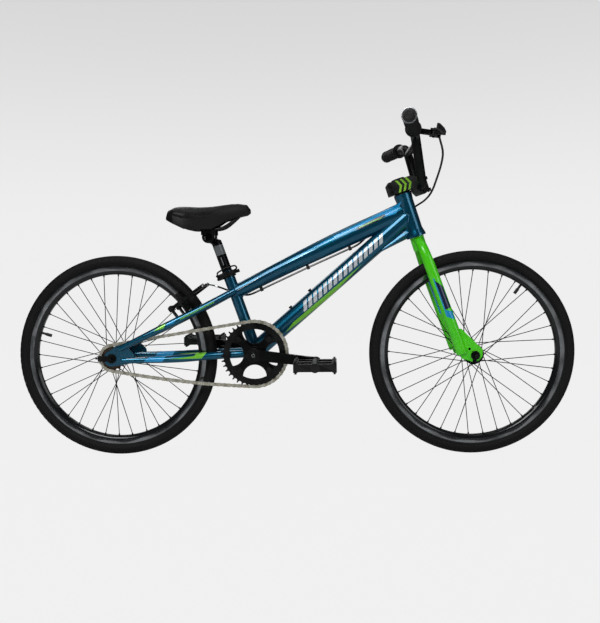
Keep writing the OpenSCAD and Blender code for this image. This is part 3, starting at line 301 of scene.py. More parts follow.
@dataclass(frozen=True)
class Mark:
    """One painted shape with straight edges and outward corners, in millimetres of its plane."""

    plane: Plane
    corners: tuple[Point, ...]
    color: Rgb
    side: float = 0.0

    def mask(self, graph: Graph, u: object, v: object) -> bpy.types.NodeSocket:
        """Build the mark's mask.

        Args:
            graph: Graph of the material.
            u: Distance along the plane.
            v: Distance across the plane.

        Returns:
            Socket that is 1 inside the mark and 0 outside.
        """
        pairs = list(zip(self.corners, self.corners[1:] + self.corners[:1]))
        area = sum(a[0] * b[1] - b[0] * a[1] for a, b in pairs)
        turn = 1 if area > 0 else -1
        inside = None
        for (ax, ay), (bx, by) in pairs:
            size = math.hypot(bx - ax, by - ay)
            nx, ny = -(by - ay) / size * turn, (bx - ax) / size * turn
            part = graph.math("MULTIPLY_ADD", v, ny, -(nx * ax + ny * ay))
            part = graph.math("MULTIPLY_ADD", u, nx, part)
            inside = part if inside is None else graph.math("MINIMUM", inside, part)
        return graph.span(inside, -0.15, 0.15)


@dataclass(frozen=True)
class Finish:
    """Surface of one material: colour, gloss, grain, and paler sharp edges that stand for edge wear together with a
    painted edge highlight.
    """

    name: str
    color: Rgb
    patch: Rgb
    metallic: float = 0.0
    roughness: float = 0.4
    spread: float = 0.08
    grain: float = 0.6
    depth: float = 0.02
    patch_size: float = 30.0
    stretch: tuple[float, float, float] = (1, 1, 1)
    coat: float = 0.0
    coat_rough: float = 0.08
    sheen: float = 0.0
    # Strength of the paler sharp edges: edge wear and a painted edge highlight.
    edge: float = 0.0
    specular: float = 0.5

    def tint(self, graph: Graph, color: object) -> tuple[object, object]:
        """Give the colour of the surface, and how far it is covered by a mark.

        Args:
            graph: Graph of the material.
            color: Colour so far.

        Returns:
            The final colour and the cover, a socket or a number.
        """
        del graph
        return color, 0.0

    def relief(self, graph: Graph, normal: object) -> object:
        """Extra relief on top of the grain; the plain finish has none."""
        del graph
        return normal

    def build(self) -> bpy.types.Material:
        """Make the material.

        Returns:
            The new material.
        """
        graph = Graph(self.name)
        shader = graph.shader
        broad = graph.noise(self.patch_size, 4, self.stretch)
        fine = graph.noise(self.grain, 3, self.stretch)
        color = graph.mix(graph.span(broad, 0.35, 0.7), self.color, self.patch)
        if self.edge:
            # Paler colour on sharp edges by pointiness: edge wear and a painted edge highlight.
            edge_wear_and_highlight = graph.span(graph.add("ShaderNodeNewGeometry").outputs["Pointiness"], 0.515, 0.56, 0, self.edge)
            edge_wear_and_highlight = graph.math("MULTIPLY", edge_wear_and_highlight, graph.span(broad, 0.3, 0.6, 0.3, 1))
            color = graph.mix(edge_wear_and_highlight, color, tuple(min(1, c * 1.8 + 0.08) for c in self.color))
        color, cover = self.tint(graph, color)
        graph.put(shader.inputs["Base Color"], color)
        low, high = self.roughness - self.spread / 2, self.roughness + self.spread
        graph.put(shader.inputs["Roughness"], graph.span(broad, 0.25, 0.8, max(0.02, low), min(1, high)))
        if isinstance(cover, float):
            shader.inputs["Metallic"].default_value = self.metallic
        else:
            graph.put(shader.inputs["Metallic"], graph.span(cover, 0, 1, self.metallic, 0.15))
        shader.inputs["Coat Weight"].default_value = self.coat
        shader.inputs["Coat Roughness"].default_value = self.coat_rough
        shader.inputs["Sheen Weight"].default_value = self.sheen
        shader.inputs["Specular IOR Level"].default_value = self.specular
        graph.put(shader.inputs["Normal"], self.relief(graph, graph.bump(fine, self.depth)))
        return graph.material


@dataclass(frozen=True)
class PaintedFinish(Finish):
    """Glossy paint with fine metal flake under the lacquer, and painted marks."""

    marks: tuple[Mark, ...] = ()
    flake: float = 0.35

    def tint(self, graph: Graph, color: object) -> tuple[object, object]:
        """Add the flake and lay the marks over the paint.

        Args:
            graph: Graph of the material.
            color: Colour so far.

        Returns:
            The final colour and the cover of all marks.
        """
        sparkle = graph.span(graph.noise(1.1, 1), 0.58, 0.72, 0, self.flake)
        color = graph.mix(sparkle, color, tuple(min(1, c * 2.2 + 0.01) for c in self.color))
        cover: object = 0.0
        axes: dict[int, tuple[object, object]] = {}
        for mark in self.marks:
            plane = mark.plane
            if id(plane) not in axes:
                axes[id(plane)] = (graph.dot(plane.along, plane.origin), graph.dot(plane.across, plane.origin))
            mask = mark.mask(graph, *axes[id(plane)])
            if mark.side:
                y = graph.math("ABSOLUTE", graph.dot(Vector((0, 1, 0)), Vector((0, 0, 0))))
                mask = graph.math("MULTIPLY", mask, graph.span(y, mark.side - 0.2, mark.side + 0.2))
            color = graph.mix(mask, color, mark.color)
            cover = mask if isinstance(cover, float) else graph.math("MAXIMUM", cover, mask)
        return color, cover


@dataclass(frozen=True)
class GroovedFinish(Finish):
    """Moulded surface whose relief is a net of fine cells, such as leather or cast rubber."""

    cell: float = 1.2
    cell_depth: float = 0.08

    def relief(self, graph: Graph, normal: object) -> object:
        """Lay the net of cells over the grain.

        Args:
            graph: Graph of the material.
            normal: Normal with the grain.

        Returns:
            The normal with both.
        """
        node = graph.add("ShaderNodeTexVoronoi", feature="DISTANCE_TO_EDGE")
        graph.put(node.inputs["Vector"], graph.place)
        node.inputs["Scale"].default_value = 1 / (self.cell * MM)
        return graph.bump(graph.span(node.outputs["Distance"], 0, 0.25), self.cell_depth, normal)


@dataclass(frozen=True)
class RimFinish(Finish):
    """Rim with a machined brake track between dark anodised bands."""

    centre: Vector = field(default_factory=Vector)
    track: tuple[float, float] = (215.5, 225.5)
    dark: Rgb = rgb("17191b")

    def tint(self, graph: Graph, color: object) -> tuple[object, object]:
        """Darken everything but the brake track.

        Args:
            graph: Graph of the material.
            color: Colour of the bare metal.

        Returns:
            The colour and the cover of the dark bands.
        """
        x = graph.dot(Vector((1, 0, 0)), self.centre)
        z = graph.dot(Vector((0, 0, 1)), self.centre)
        radius = graph.math("SQRT", graph.math("ADD", graph.math("POWER", x, 2.0), graph.math("POWER", z, 2.0)))
        lines = graph.math("SINE", graph.math("MULTIPLY", radius, 9.0))
        color = graph.mix(graph.span(lines, -1, 1, 0, 0.25), color, self.patch)
        outside = graph.math("MAXIMUM", graph.span(radius, self.track[0] + 0.3, self.track[0] - 0.3),
                             graph.span(radius, self.track[1] - 0.2, self.track[1] + 0.2))
        return graph.mix(outside, color, self.dark), outside


class Slot(Enum):
    """Material slots of the record that the pieces take their finish from."""

    FRAME = "frame_paint"
    FORK = "fork_paint"
    BEARING = "bearing_steel"
    ALLOY = "black_alloy"
    STEM = "stem_alloy"
    STEEL = "black_steel"
    BRIGHT = "bright_steel"
    RING = "ring_alloy"
    HOUSING = "housing"
    PLASTIC = "black_plastic"
    GRIP = "grip_rubber"
    TYRE = "tyre_rubber"
    RIM = "rim_alloy"
    SPOKE = "spoke_steel"
    COG = "cog_steel"
    CHAIN = "chain_steel"
    SADDLE = "saddle_cover"


class Marks:
    """The bike's painted shapes: slanted bars, spears and stripes, and one painted highlight streak along the top
    tube.
    """

    white = rgb("dde3e8")
    lime = rgb("86e03a")
    sky = rgb("06a0e0")
    # Pale blue of the painted highlight streak on the top tube.
    painted_highlight = rgb("8fdcf2")
    navy = rgb("0b1f4a")
    dark = rgb("06222e")
    black = rgb("050606")
    bar_count = 16
    bar_start = 146.0
    bar_pitch = 16.5
    bar_width = 11.5

    def __init__(self) -> None:
        """Lay out the planes of the frame's and the fork's tubes."""
        root = PLACES.bb + Vector((0, 0, 4))
        end = PLACES.steer(0, 0, 372)
        along = (end - root).normalized()
        self.down = Plane(root + along * 14, along, Vector((-along.z, 0, along.x)))
        seat, head = PLACES.seat(158, -2), PLACES.steer(-2, 0, 386)
        chord = (head - seat).normalized()
        self.top = Plane(seat, chord, Vector((-chord.z, 0, chord.x)))
        self.world = Plane(Vector((0, 0, 0)), Vector((1, 0, 0)), Vector((0, 0, 1)))
        axis = PLACES.steer_axis
        self.fork = Plane(PLACES.steer(0, 0, 0), Vector((axis.z, 0, -axis.x)), axis)

    def frame_marks(self) -> tuple[Mark, ...]:
        """Marks of the down tube, the top tube and the stays.

        Returns:
            The marks, the lowest layer first.
        """
        found = [Mark(self.down, ((72, -15), (103.5, -8.2), (327.6, -13), (218, -22), (130, -18.6)), self.lime, 3)]
        for number in range(self.bar_count):
            start = self.bar_start + self.bar_pitch * number
            shape = self.slanted(start, start + self.bar_width, -7, 14 - 0.1 * number)
            found.append(Mark(self.down, shape, self.white, 3))
        found += [
            # Thin pale-blue streak along the top tube: a painted highlight, not print.
            Mark(self.top, ((95, 5.0), (200, 9.8), (330, 12.8), (330, 14.4), (200, 12.4), (95, 5.6)), self.painted_highlight, 2),
            Mark(self.top, ((160, 12.4), (266, 13.8), (385, 12.5), (385, 21.5), (266, 19.6)), self.sky, 2),
            Mark(self.top, ((384.5, 12.5), (446, 3), (460, 14), (470, 24), (384.5, 21.5)), self.sky, 2),
            Mark(self.top, ((345, 8), (400, 5), (421, 9), (421, 14), (398, 15.5), (345, 13.6)), self.dark, 6),
            Mark(self.top, ((351, 12.8), (411, 9.8), (411, 8.4), (351, 11.4)), self.lime, 6),
            Mark(self.top, ((12, 2.9), (72, 7.6), (72, 6.2), (12, 1.5)), self.white, 6),
        ]
        for shape, color in (
            (((-336, 320), (-326, 329), (-307, 339), (-312, 327)), self.lime),
            (((-306, 333), (-300, 342), (-281, 349.5), (-288, 339)), self.sky),
            (((-273, 346.8), (-191, 387.3), (-191, 389.8), (-273, 349.3)), self.lime),
            (((-364, 245), (-351, 256), (-309.5, 258.4), (-318, 244)), self.sky),
            (((-302, 250.8), (-224, 249.5), (-238, 256.5)), self.lime),
            (((-241, 255), (-224, 249.5), (-210, 266), (-238, 264)), self.lime),
            (((-406, 252.4), (-361, 254.4), (-361, 255.7), (-406, 253.7)), self.white),
        ):
            found.append(Mark(self.world, shape, color, 14))
        found.append(Mark(self.world, ((-325, 336), (-260, 366), (-260, 400), (-325, 400)), self.black, 34))
        return tuple(found)

    def fork_marks(self) -> tuple[Mark, ...]:
        """Marks of the fork's legs.

        Returns:
            The marks, the lowest layer first.
        """
        return (
            Mark(self.fork, ((-2.3, 209), (0.8, 209), (3.6, 111), (0.5, 111)), self.sky, 42),
            Mark(self.fork, ((0.8, 203), (14.6, 184), (17.3, 130), (3.2, 128.6)), self.navy, 42),
            Mark(self.fork, ((2.3, 128), (17.7, 120), (17.1, 100), (1.6, 111)), self.sky, 42),
        )

    @staticmethod
    def slanted(start: float, stop: float, low: float, high: float, slant: float = 0.8) -> tuple[Point, ...]:
        """Block with leaning ends.

        Args:
            start: Where it begins, at no height.
            stop: Where it ends, at no height.
            low: Bottom edge.
            high: Top edge.
            slant: How far the ends lean forwards for each step up.

        Returns:
            Its four corners.
        """
        return (
            (start + low * slant, low), (stop + low * slant, low),
            (stop + high * slant, high), (start + high * slant, high),
        )


class Palette:
    """All of the bike's materials by slot."""

    def __init__(self) -> None:
        """Make every material once."""
        marks = Marks()
        plain = [
            (Slot.BEARING, Finish("bearing_steel", rgb("8e9194"), rgb("a8abad"), 1, 0.28, grain=0.4, depth=0.01)),
            (Slot.ALLOY, Finish("black_alloy", rgb("08090a"), rgb("101214"), 0.75, 0.3, 0.12, 0.35, 0.012, edge=0.3)),
            (Slot.STEM, Finish("stem_alloy", rgb("1b1c1d"), rgb("262728"), 0.7, 0.42, 0.1, 0.3, 0.03, edge=0.35)),
            (Slot.STEEL, Finish("black_steel", rgb("0c0d0e"), rgb("17181a"), 0.85, 0.33, 0.15, 0.5, 0.02, edge=0.4)),
            (Slot.BRIGHT, Finish("bright_steel", rgb("b4b7ba"), rgb("8f9295"), 1, 0.2, 0.12, 0.8, 0.01, 12)),
            (Slot.RING, Finish("ring_alloy", rgb("c5c8cb"), rgb("a4a7aa"), 1, 0.25, 0.1, 0.5, 0.01, 10)),
            (Slot.HOUSING, Finish("housing", rgb("070808"), rgb("101111"), 0, 0.32, 0.1, 0.8, 0.03, 20, coat=0.3)),
            (Slot.PLASTIC, Finish("black_plastic", rgb("070808"), rgb("0d0e0e"), 0, 0.4, 0.12, 0.5, 0.05,
                                   edge=0.2, specular=0.3)),
            (Slot.GRIP, GroovedFinish("grip_rubber", rgb("0c0d0d"), rgb("151616"), 0, 0.62, 0.15, 0.5, 0.05,
                                      specular=0.3, cell=1.0, cell_depth=0.05)),
            (Slot.TYRE, GroovedFinish("tyre_rubber", rgb("0c0d0c"), rgb("131412"), 0, 0.62, 0.12, 0.7, 0.06, 50,
                                      specular=0.25, cell=0.8, cell_depth=0.05)),
            (Slot.SPOKE, Finish("spoke_steel", rgb("141517"), rgb("26282a"), 0.9, 0.3, 0.1, 1.0, 0.01, 15)),
            (Slot.COG, Finish("cog_steel", rgb("4a3b2c"), rgb("30261c"), 0.85, 0.38, 0.15, 0.6, 0.03, 12, edge=0.5)),
            (Slot.CHAIN, Finish("chain_steel", rgb("cfcbb8"), rgb("8f8b78"), 0.55, 0.32, 0.2, 0.5, 0.02, 7,
                                 edge=0.5)),
            (Slot.SADDLE, GroovedFinish("saddle_cover", rgb("060607"), rgb("0a0a0b"), 0, 0.42, 0.1, 0.6, 0.03, 40,
                                        sheen=0.02, specular=0.3, cell=1.4, cell_depth=0.07)),
        ]
        self.made = {slot: finish.build() for slot, finish in plain}
        self.made[Slot.FRAME] = PaintedFinish(
            "frame_paint", rgb("00617f"), rgb("00506f"), 0.85, 0.3, 0.05, 0.5, 0.002, 60, coat=0.7, coat_rough=0.05,
            marks=marks.frame_marks(),
        ).build()
        self.made[Slot.FORK] = PaintedFinish(
            "fork_paint", rgb("58f008"), rgb("46e404"), 0, 0.3, 0.06, 0.5, 0.002, 50, coat=0.5, flake=0.06,
            marks=marks.fork_marks(),
        ).build()
        self.rims = {
            node: RimFinish(
                f"{node}_alloy", rgb("a5a8ab"), rgb("5c5f61"), 1, 0.16, 0.08, 0.9, 0.004, 60, centre=middle(node)
            ).build()
            for node in ("front_rim", "rear_rim")
        }
        post = Plane(PLACES.seat(0), PLACES.seat_axis, Vector((PLACES.seat_axis.z, 0, -PLACES.seat_axis.x)))
        self.post = PaintedFinish(
            "post_alloy", rgb("08090a"), rgb("101214"), 0.75, 0.3, 0.12, 0.35, 0.01, flake=0,
            marks=(Mark(post, ((258, -14), (283, -14), (283, 14), (258, 14)), rgb("6c7072")),
                   Mark(post, ((232, -2.5), (252, -2.5), (252, 0), (232, 0)), rgb("85898c"))),
        ).build()
        self.lime = Finish("lime_print", rgb("9bdc3c"), rgb("8acb30"), 0, 0.4, grain=0.4, depth=0.01).build()
        self.shell = Finish(
            "saddle_shell", rgb("060607"), rgb("0b0b0c"), 0, 0.5, 0.1, 0.4, 0.06, specular=0.3
        ).build()

    def __getitem__(self, slot: Slot) -> bpy.types.Material:
        """Give the material of a slot."""
        return self.made[slot]


# ---------- meshes ----------


def corner_path(points: Sequence[Vector], radii: Sequence[float], steps: int = 8) -> list[Vector]:
    """Round the corners of a path.

    Args:
        points: Corners of the path.
        radii: How far before each corner its curve starts.
        steps: Pieces of each curve.

    Returns:
        Points of the rounded path.
    """
    path: list[Vector] = []
    for i, point in enumerate(points):
        if i in (0, len(points) - 1) or radii[i] <= 0:
            path.append(point.copy())
            continue
        before, after = points[i - 1] - point, points[i + 1] - point
        start = point + before.normalized() * min(radii[i], before.length * 0.48)
        stop = point + after.normalized() * min(radii[i], after.length * 0.48)
        for k in range(steps + 1):
            t = k / steps
            path.append(start.lerp(point, t).lerp(point.lerp(stop, t), t))
    return path


def side_frames(path: Sequence[Vector], side: Vector, closed: bool = False) -> list[tuple[Vector, Vector]]:
    """Side vectors carried along a path without twisting.

    Args:
        path: Points of the path.
        side: First side vector.
        closed: The path's end joins its start.

    Returns:
        Two side vectors for every point.
    """
    frames = []
    count = len(path)
    for i in range(count):
        ahead = path[(i + 1) % count] if closed else path[min(i + 1, count - 1)]
        behind = path[i - 1] if closed else path[max(i - 1, 0)]
        along = (ahead - behind).normalized()
        side = (side - along * side.dot(along)).normalized()
        frames.append((side.copy(), along.cross(side)))
    return frames


def loft(rings: Sequence[Sequence[Vector]], closed: bool = False, caps: bool = True) -> bmesh.types.BMesh:
    """Skin over rings of points.

    Args:
        rings: Rings with the same number of points.
        closed: The last ring joins the first.
        caps: Close both ends.

    Returns:
        The mesh, in metres.
    """
    mesh = bmesh.new()
    rows = [[mesh.verts.new(p * MM) for p in ring] for ring in rings]
    count = len(rows[0])
    for i in range(len(rows) if closed else len(rows) - 1):
        row, after = rows[i], rows[(i + 1) % len(rows)]
        for k in range(count):
            mesh.faces.new((row[k], row[(k + 1) % count], after[(k + 1) % count], after[k]))
    if caps and not closed:
        mesh.faces.new(list(reversed(rows[0])))
        mesh.faces.new(rows[-1])
    bmesh.ops.recalc_face_normals(mesh, faces=mesh.faces)
    return mesh


def pipe(path: Sequence[Vector], radius: float | Callable[[int], float], sides: int = 20,
         side: Vector = Vector((0, 1, 0)), closed: bool = False) -> bmesh.types.BMesh:
    """Round skin along a path.

    Args:
        path: Points of the path.
        radius: Radius, or a function of the point's number.
        sides: Points of each ring.
        side: First side vector.
        closed: The path is a loop.

    Returns:
        The mesh, in metres.
    """
    rings = []
    for i, (u, v) in enumerate(side_frames(path, side, closed)):
        r = radius(i) if callable(radius) else radius
        rings.append([
            path[i] + u * r * math.cos(math.tau * k / sides) + v * r * math.sin(math.tau * k / sides)
            for k in range(sides)
        ])
    return loft(rings, closed)


def lathe(profile: Sequence[Point], origin: Vector, axis: Vector, steps: int = 64,
          closed: bool = False) -> bmesh.types.BMesh:
    """Turned shape about an axis.

    Args:
        profile: Radius and distance along the axis, in order.
        origin: Point of the axis at distance nought.
        axis: Direction of the axis.
        steps: Parts of a turn.
        closed: The profile's end joins its start.

    Returns:
        The mesh, in metres.
    """
    axis = axis.normalized()
    side = axis.orthogonal().normalized()
    other = axis.cross(side)
    rings = []
    for i in range(steps):
        a = math.tau * i / steps
        out = side * math.cos(a) + other * math.sin(a)
        rings.append([origin + out * r + axis * h for r, h in profile])
    mesh = bmesh.new()
    rows = [[mesh.verts.new(p * MM) for p in ring] for ring in rings]
    count = len(profile)
    for i in range(steps):
        row, after = rows[i], rows[(i + 1) % steps]
        for k in range(count if closed else count - 1):
            mesh.faces.new((row[k], row[(k + 1) % count], after[(k + 1) % count], after[k]))
    if not closed:
        for end in (0, count - 1):
            mesh.faces.new([row[end] for row in rows])
    bmesh.ops.remove_doubles(mesh, verts=mesh.verts, dist=1e-7)
    bmesh.ops.recalc_face_normals(mesh, faces=mesh.faces)
    return mesh


def node_tree(node: str) -> BVHTree:
    """Search tree of a CAD node's faces."""
    mesh = bmesh.new()
    mesh.from_mesh(frame["nodes"][node].data)
    return BVHTree.FromBMesh(mesh)


@dataclass(frozen=True)
class Bend:
    """Where a piece would bend between two bodies: the body it stays with, and the points where the bend starts and
    ends. Nothing reads these fields; a piece given one is left off every body with its transform baked.
    """

    still: str
    start: tuple[float, float, float]
    end: tuple[float, float, float]


@dataclass
class Assembly:
    """One sub-assembly: it makes pieces, dresses them and sets them on their bodies."""

    title = "part"

    palette: Palette

    def build(self) -> None:
        """Make the sub-assembly's pieces; each kind does its own."""
        raise NotImplementedError

    def piece(self, name: str, mesh: bmesh.types.BMesh, body: str, slot: Slot, replaces: Sequence[str] = (),
              bevel: float = 0.0, segments: int = 2, material: bpy.types.Material | None = None,
              sharp: float = 35.0, bend: Bend | None = None) -> bpy.types.Object:
        """Turn a mesh into a dressed piece on a body.

        Args:
            name: Name of the piece.
            mesh: Its mesh, in metres.
            body: CAD body it rides on.
            slot: Slot its finish comes from.
            replaces: CAD nodes it stands for.
            bevel: Width of the rounded edges, in millimetres.
            segments: Steps of a rounded edge.
            material: Material other than the slot's own.
            sharp: Edges bent more than this stay sharp, in degrees.
            bend: Marks a piece that runs between two bodies; only whether it is given is read, and such a piece is
                put on no body and has its transform baked.

        Returns:
            The new object.
        """
        data = bpy.data.meshes.new(name)
        mesh.to_mesh(data)
        mesh.free()
        thing = bpy.data.objects.new(name, data)
        bpy.context.scene.collection.objects.link(thing)
        data.shade_smooth()
        data.set_sharp_from_angle(angle=math.radians(sharp))
        if bevel:
            rounding = thing.modifiers.new("rounding", "BEVEL")
            rounding.width = bevel * MM
            rounding.segments = segments
            rounding.limit_method = "ANGLE"
            rounding.angle_limit = math.radians(sharp)
            rounding.harden_normals = True
            rounding.use_clamp_overlap = True
            rounding.miter_outer = "MITER_ARC"
        data.materials.append(material or self.palette[slot])
        if bend:
            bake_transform(thing)
        else:
            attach(thing, body)
        if replaces:
            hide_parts(*replaces)
        LOG.info("%s: %s on %s", self.title, name, body)
        return thing

    def refine(self, node: str, slot: Slot, bevel: float = 0.4, segments: int = 2,
               material: bpy.types.Material | None = None, sharp: float = 30.0,
               bend: Bend | None = None) -> bpy.types.Object:
        """Stand a smooth copy with rounded edges in for a CAD node.

        Args:
            node: CAD node.
            slot: Slot its finish comes from.
            bevel: Width of the rounded edges, in millimetres.
            segments: Steps of a rounded edge.
            material: Material other than the slot's own.
            sharp: Edges bent more than this are rounded, in degrees.
            bend: Passed on to piece, which only reads whether it is given.

        Returns:
            The new object.
        """
        source = frame["nodes"][node]
        mesh = bmesh.new()
        mesh.from_mesh(source.data)
        bmesh.ops.remove_doubles(mesh, verts=mesh.verts, dist=2e-6)
        bmesh.ops.dissolve_limit(mesh, angle_limit=math.radians(0.6), verts=mesh.verts, edges=mesh.edges)
        loose = [v for v in mesh.verts if not v.link_faces]
        bmesh.ops.delete(mesh, geom=loose, context="VERTS")
        return self.piece(f"{node}_shaped", mesh, source["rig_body"], slot, (node,), bevel, segments, material,
                          sharp, bend)

    def dress(self, slot: Slot, *nodes: str, material: bpy.types.Material | None = None) -> None:
        """Give CAD nodes that stay their material.

        Args:
            slot: Slot of the finish.
            *nodes: CAD nodes.
            material: Material other than the slot's own.
        """
        for node in nodes:
            data = frame["nodes"][node].data
            data.materials.clear()
            data.materials.append(material or self.palette[slot])
            LOG.info("%s: %s dressed as %s", self.title, node, slot.value)


# ---------- frame ----------


@dataclass
class Tube:
    """A frame tube that a weld bead is laid round at one end."""

    name: str
    start: Vector
    end: Vector
    half_width: float
    half_height: float


@dataclass
class Frameset(Assembly):
    """Main tubes, stays, dropouts, weld beads and what is screwed to them."""

    title = "frame"

    bead_r: float = 2.1
    ripple: float = 2.6

    def build(self) -> None:
        """Make the tubes, the weld beads and the small parts."""
        for node in ("head_tube", "top_tube", "down_tube", "seat_tube", "bb_shell", "chain_stays", "seat_stays"):
            self.refine(node, Slot.FRAME, 0.5)
        self.refine("rear_dropouts", Slot.FRAME, 1.0)
        self.welds()
        for node, slot, bevel in (
            ("headset_bearings", Slot.BEARING, 0.3), ("bb_bearings", Slot.ALLOY, 0.5),
            ("seat_clamp", Slot.ALLOY, 0.8), ("rear_axle", Slot.STEEL, 0.5),
            ("chain_tensioners", Slot.ALLOY, 0.4), ("cable_guides", Slot.PLASTIC, 0.8),
            ("bottle_bolts", Slot.STEEL, 0.9),
        ):
            self.refine(node, slot, bevel)
        self.refine("brake_cable_rear", Slot.HOUSING, 0)

    def welds(self) -> None:
        """Lay a rippled bead where each tube meets its neighbour."""
        top_a, top_b = PLACES.seat(158, -2), PLACES.steer(-2, 0, 386)
        down_a, down_b = PLACES.bb + Vector((0, 0, 4)), PLACES.steer(0, 0, 372)
        joins = (
            (Tube("top_to_head", top_a.lerp(top_b, 0.8), top_b, 17.2, 23.4), "head_tube"),
            (Tube("top_to_seat", top_a.lerp(top_b, 0.2), top_a, 15.6, 17.6), "seat_tube"),
            (Tube("down_to_head", down_a.lerp(down_b, 0.8), down_b, 20, 22.3), "head_tube"),
            (Tube("down_to_shell", down_a.lerp(down_b, 0.25), down_a, 20, 22.3), "bb_shell"),
            (Tube("seat_to_shell", PLACES.seat(90), PLACES.bb, 14.3, 14.3), "bb_shell"),
        )
        for tube, neighbour in joins:
            self.bead(tube, neighbour)

    def bead(self, tube: Tube, neighbour: str) -> None:
        """Lay one bead round a tube's end.

        Args:
            tube: The tube.
            neighbour: CAD node that the tube runs into.
        """
        tree = node_tree(neighbour)
        along = (tube.end - tube.start).normalized()
        side = Vector((0, 1, 0))
        other = along.cross(side)
        points = []
        count = 150
        for k in range(count):
            a = math.tau * k / count
            start = tube.start + side * tube.half_width * math.cos(a) + other * tube.half_height * math.sin(a)
            hit, _, _, _ = tree.ray_cast(start * MM, along, 0.2)
            if hit is not None:
                points.append(hit / MM)
        if len(points) < count * 0.5:
            LOG.info("frame: no bead on %s", tube.name)
            return
        whole = len(points) == count
        points = self.even(points, whole)
        pitch = self.ripple

        def radius(i: int) -> float:
            """Radius of the bead at a point, thicker at each ripple."""
            return self.bead_r * (0.86 + 0.2 * abs(math.sin(math.pi * i * 0.65 / pitch)))

        self.piece(f"weld_{tube.name}", pipe(points, radius, 10, along.orthogonal(), closed=whole),
                   "frame", Slot.FRAME)

    @staticmethod
    def even(points: Sequence[Vector], whole: bool) -> list[Vector]:
        """Space points evenly, 0.65 mm apart.

        Args:
            points: Points of a line.
            whole: The line is a loop.

        Returns:
            The evenly spaced points.
        """
        line = [*points, points[0]] if whole else list(points)
        lengths = [0.0]
        for a, b in zip(line, line[1:]):
            lengths.append(lengths[-1] + (b - a).length)
        count = max(8, int(lengths[-1] / 0.65))
        found, j = [], 0
        for i in range(count):
            s = lengths[-1] * i / (count if whole else count - 1)
            while j < len(line) - 2 and lengths[j + 1] < s:
                j += 1
            step = lengths[j + 1] - lengths[j]
            found.append(line[j].lerp(line[j + 1], (s - lengths[j]) / step if step > 0 else 0))
        return found


@dataclass
class Fork(Assembly):
    """Crown, legs and ends of the fork, with its front axle."""

    title = "fork"

    def build(self) -> None:
        """Refine the fork's nodes."""
        self.refine("fork_steerer", Slot.FORK, 1.2, 3)
        self.refine("fork_legs", Slot.FORK, 0.4)
        self.refine("fork_dropouts", Slot.FORK, 1.0)
        self.refine("front_axle", Slot.STEEL, 0.5)


# ---------- cockpit ----------


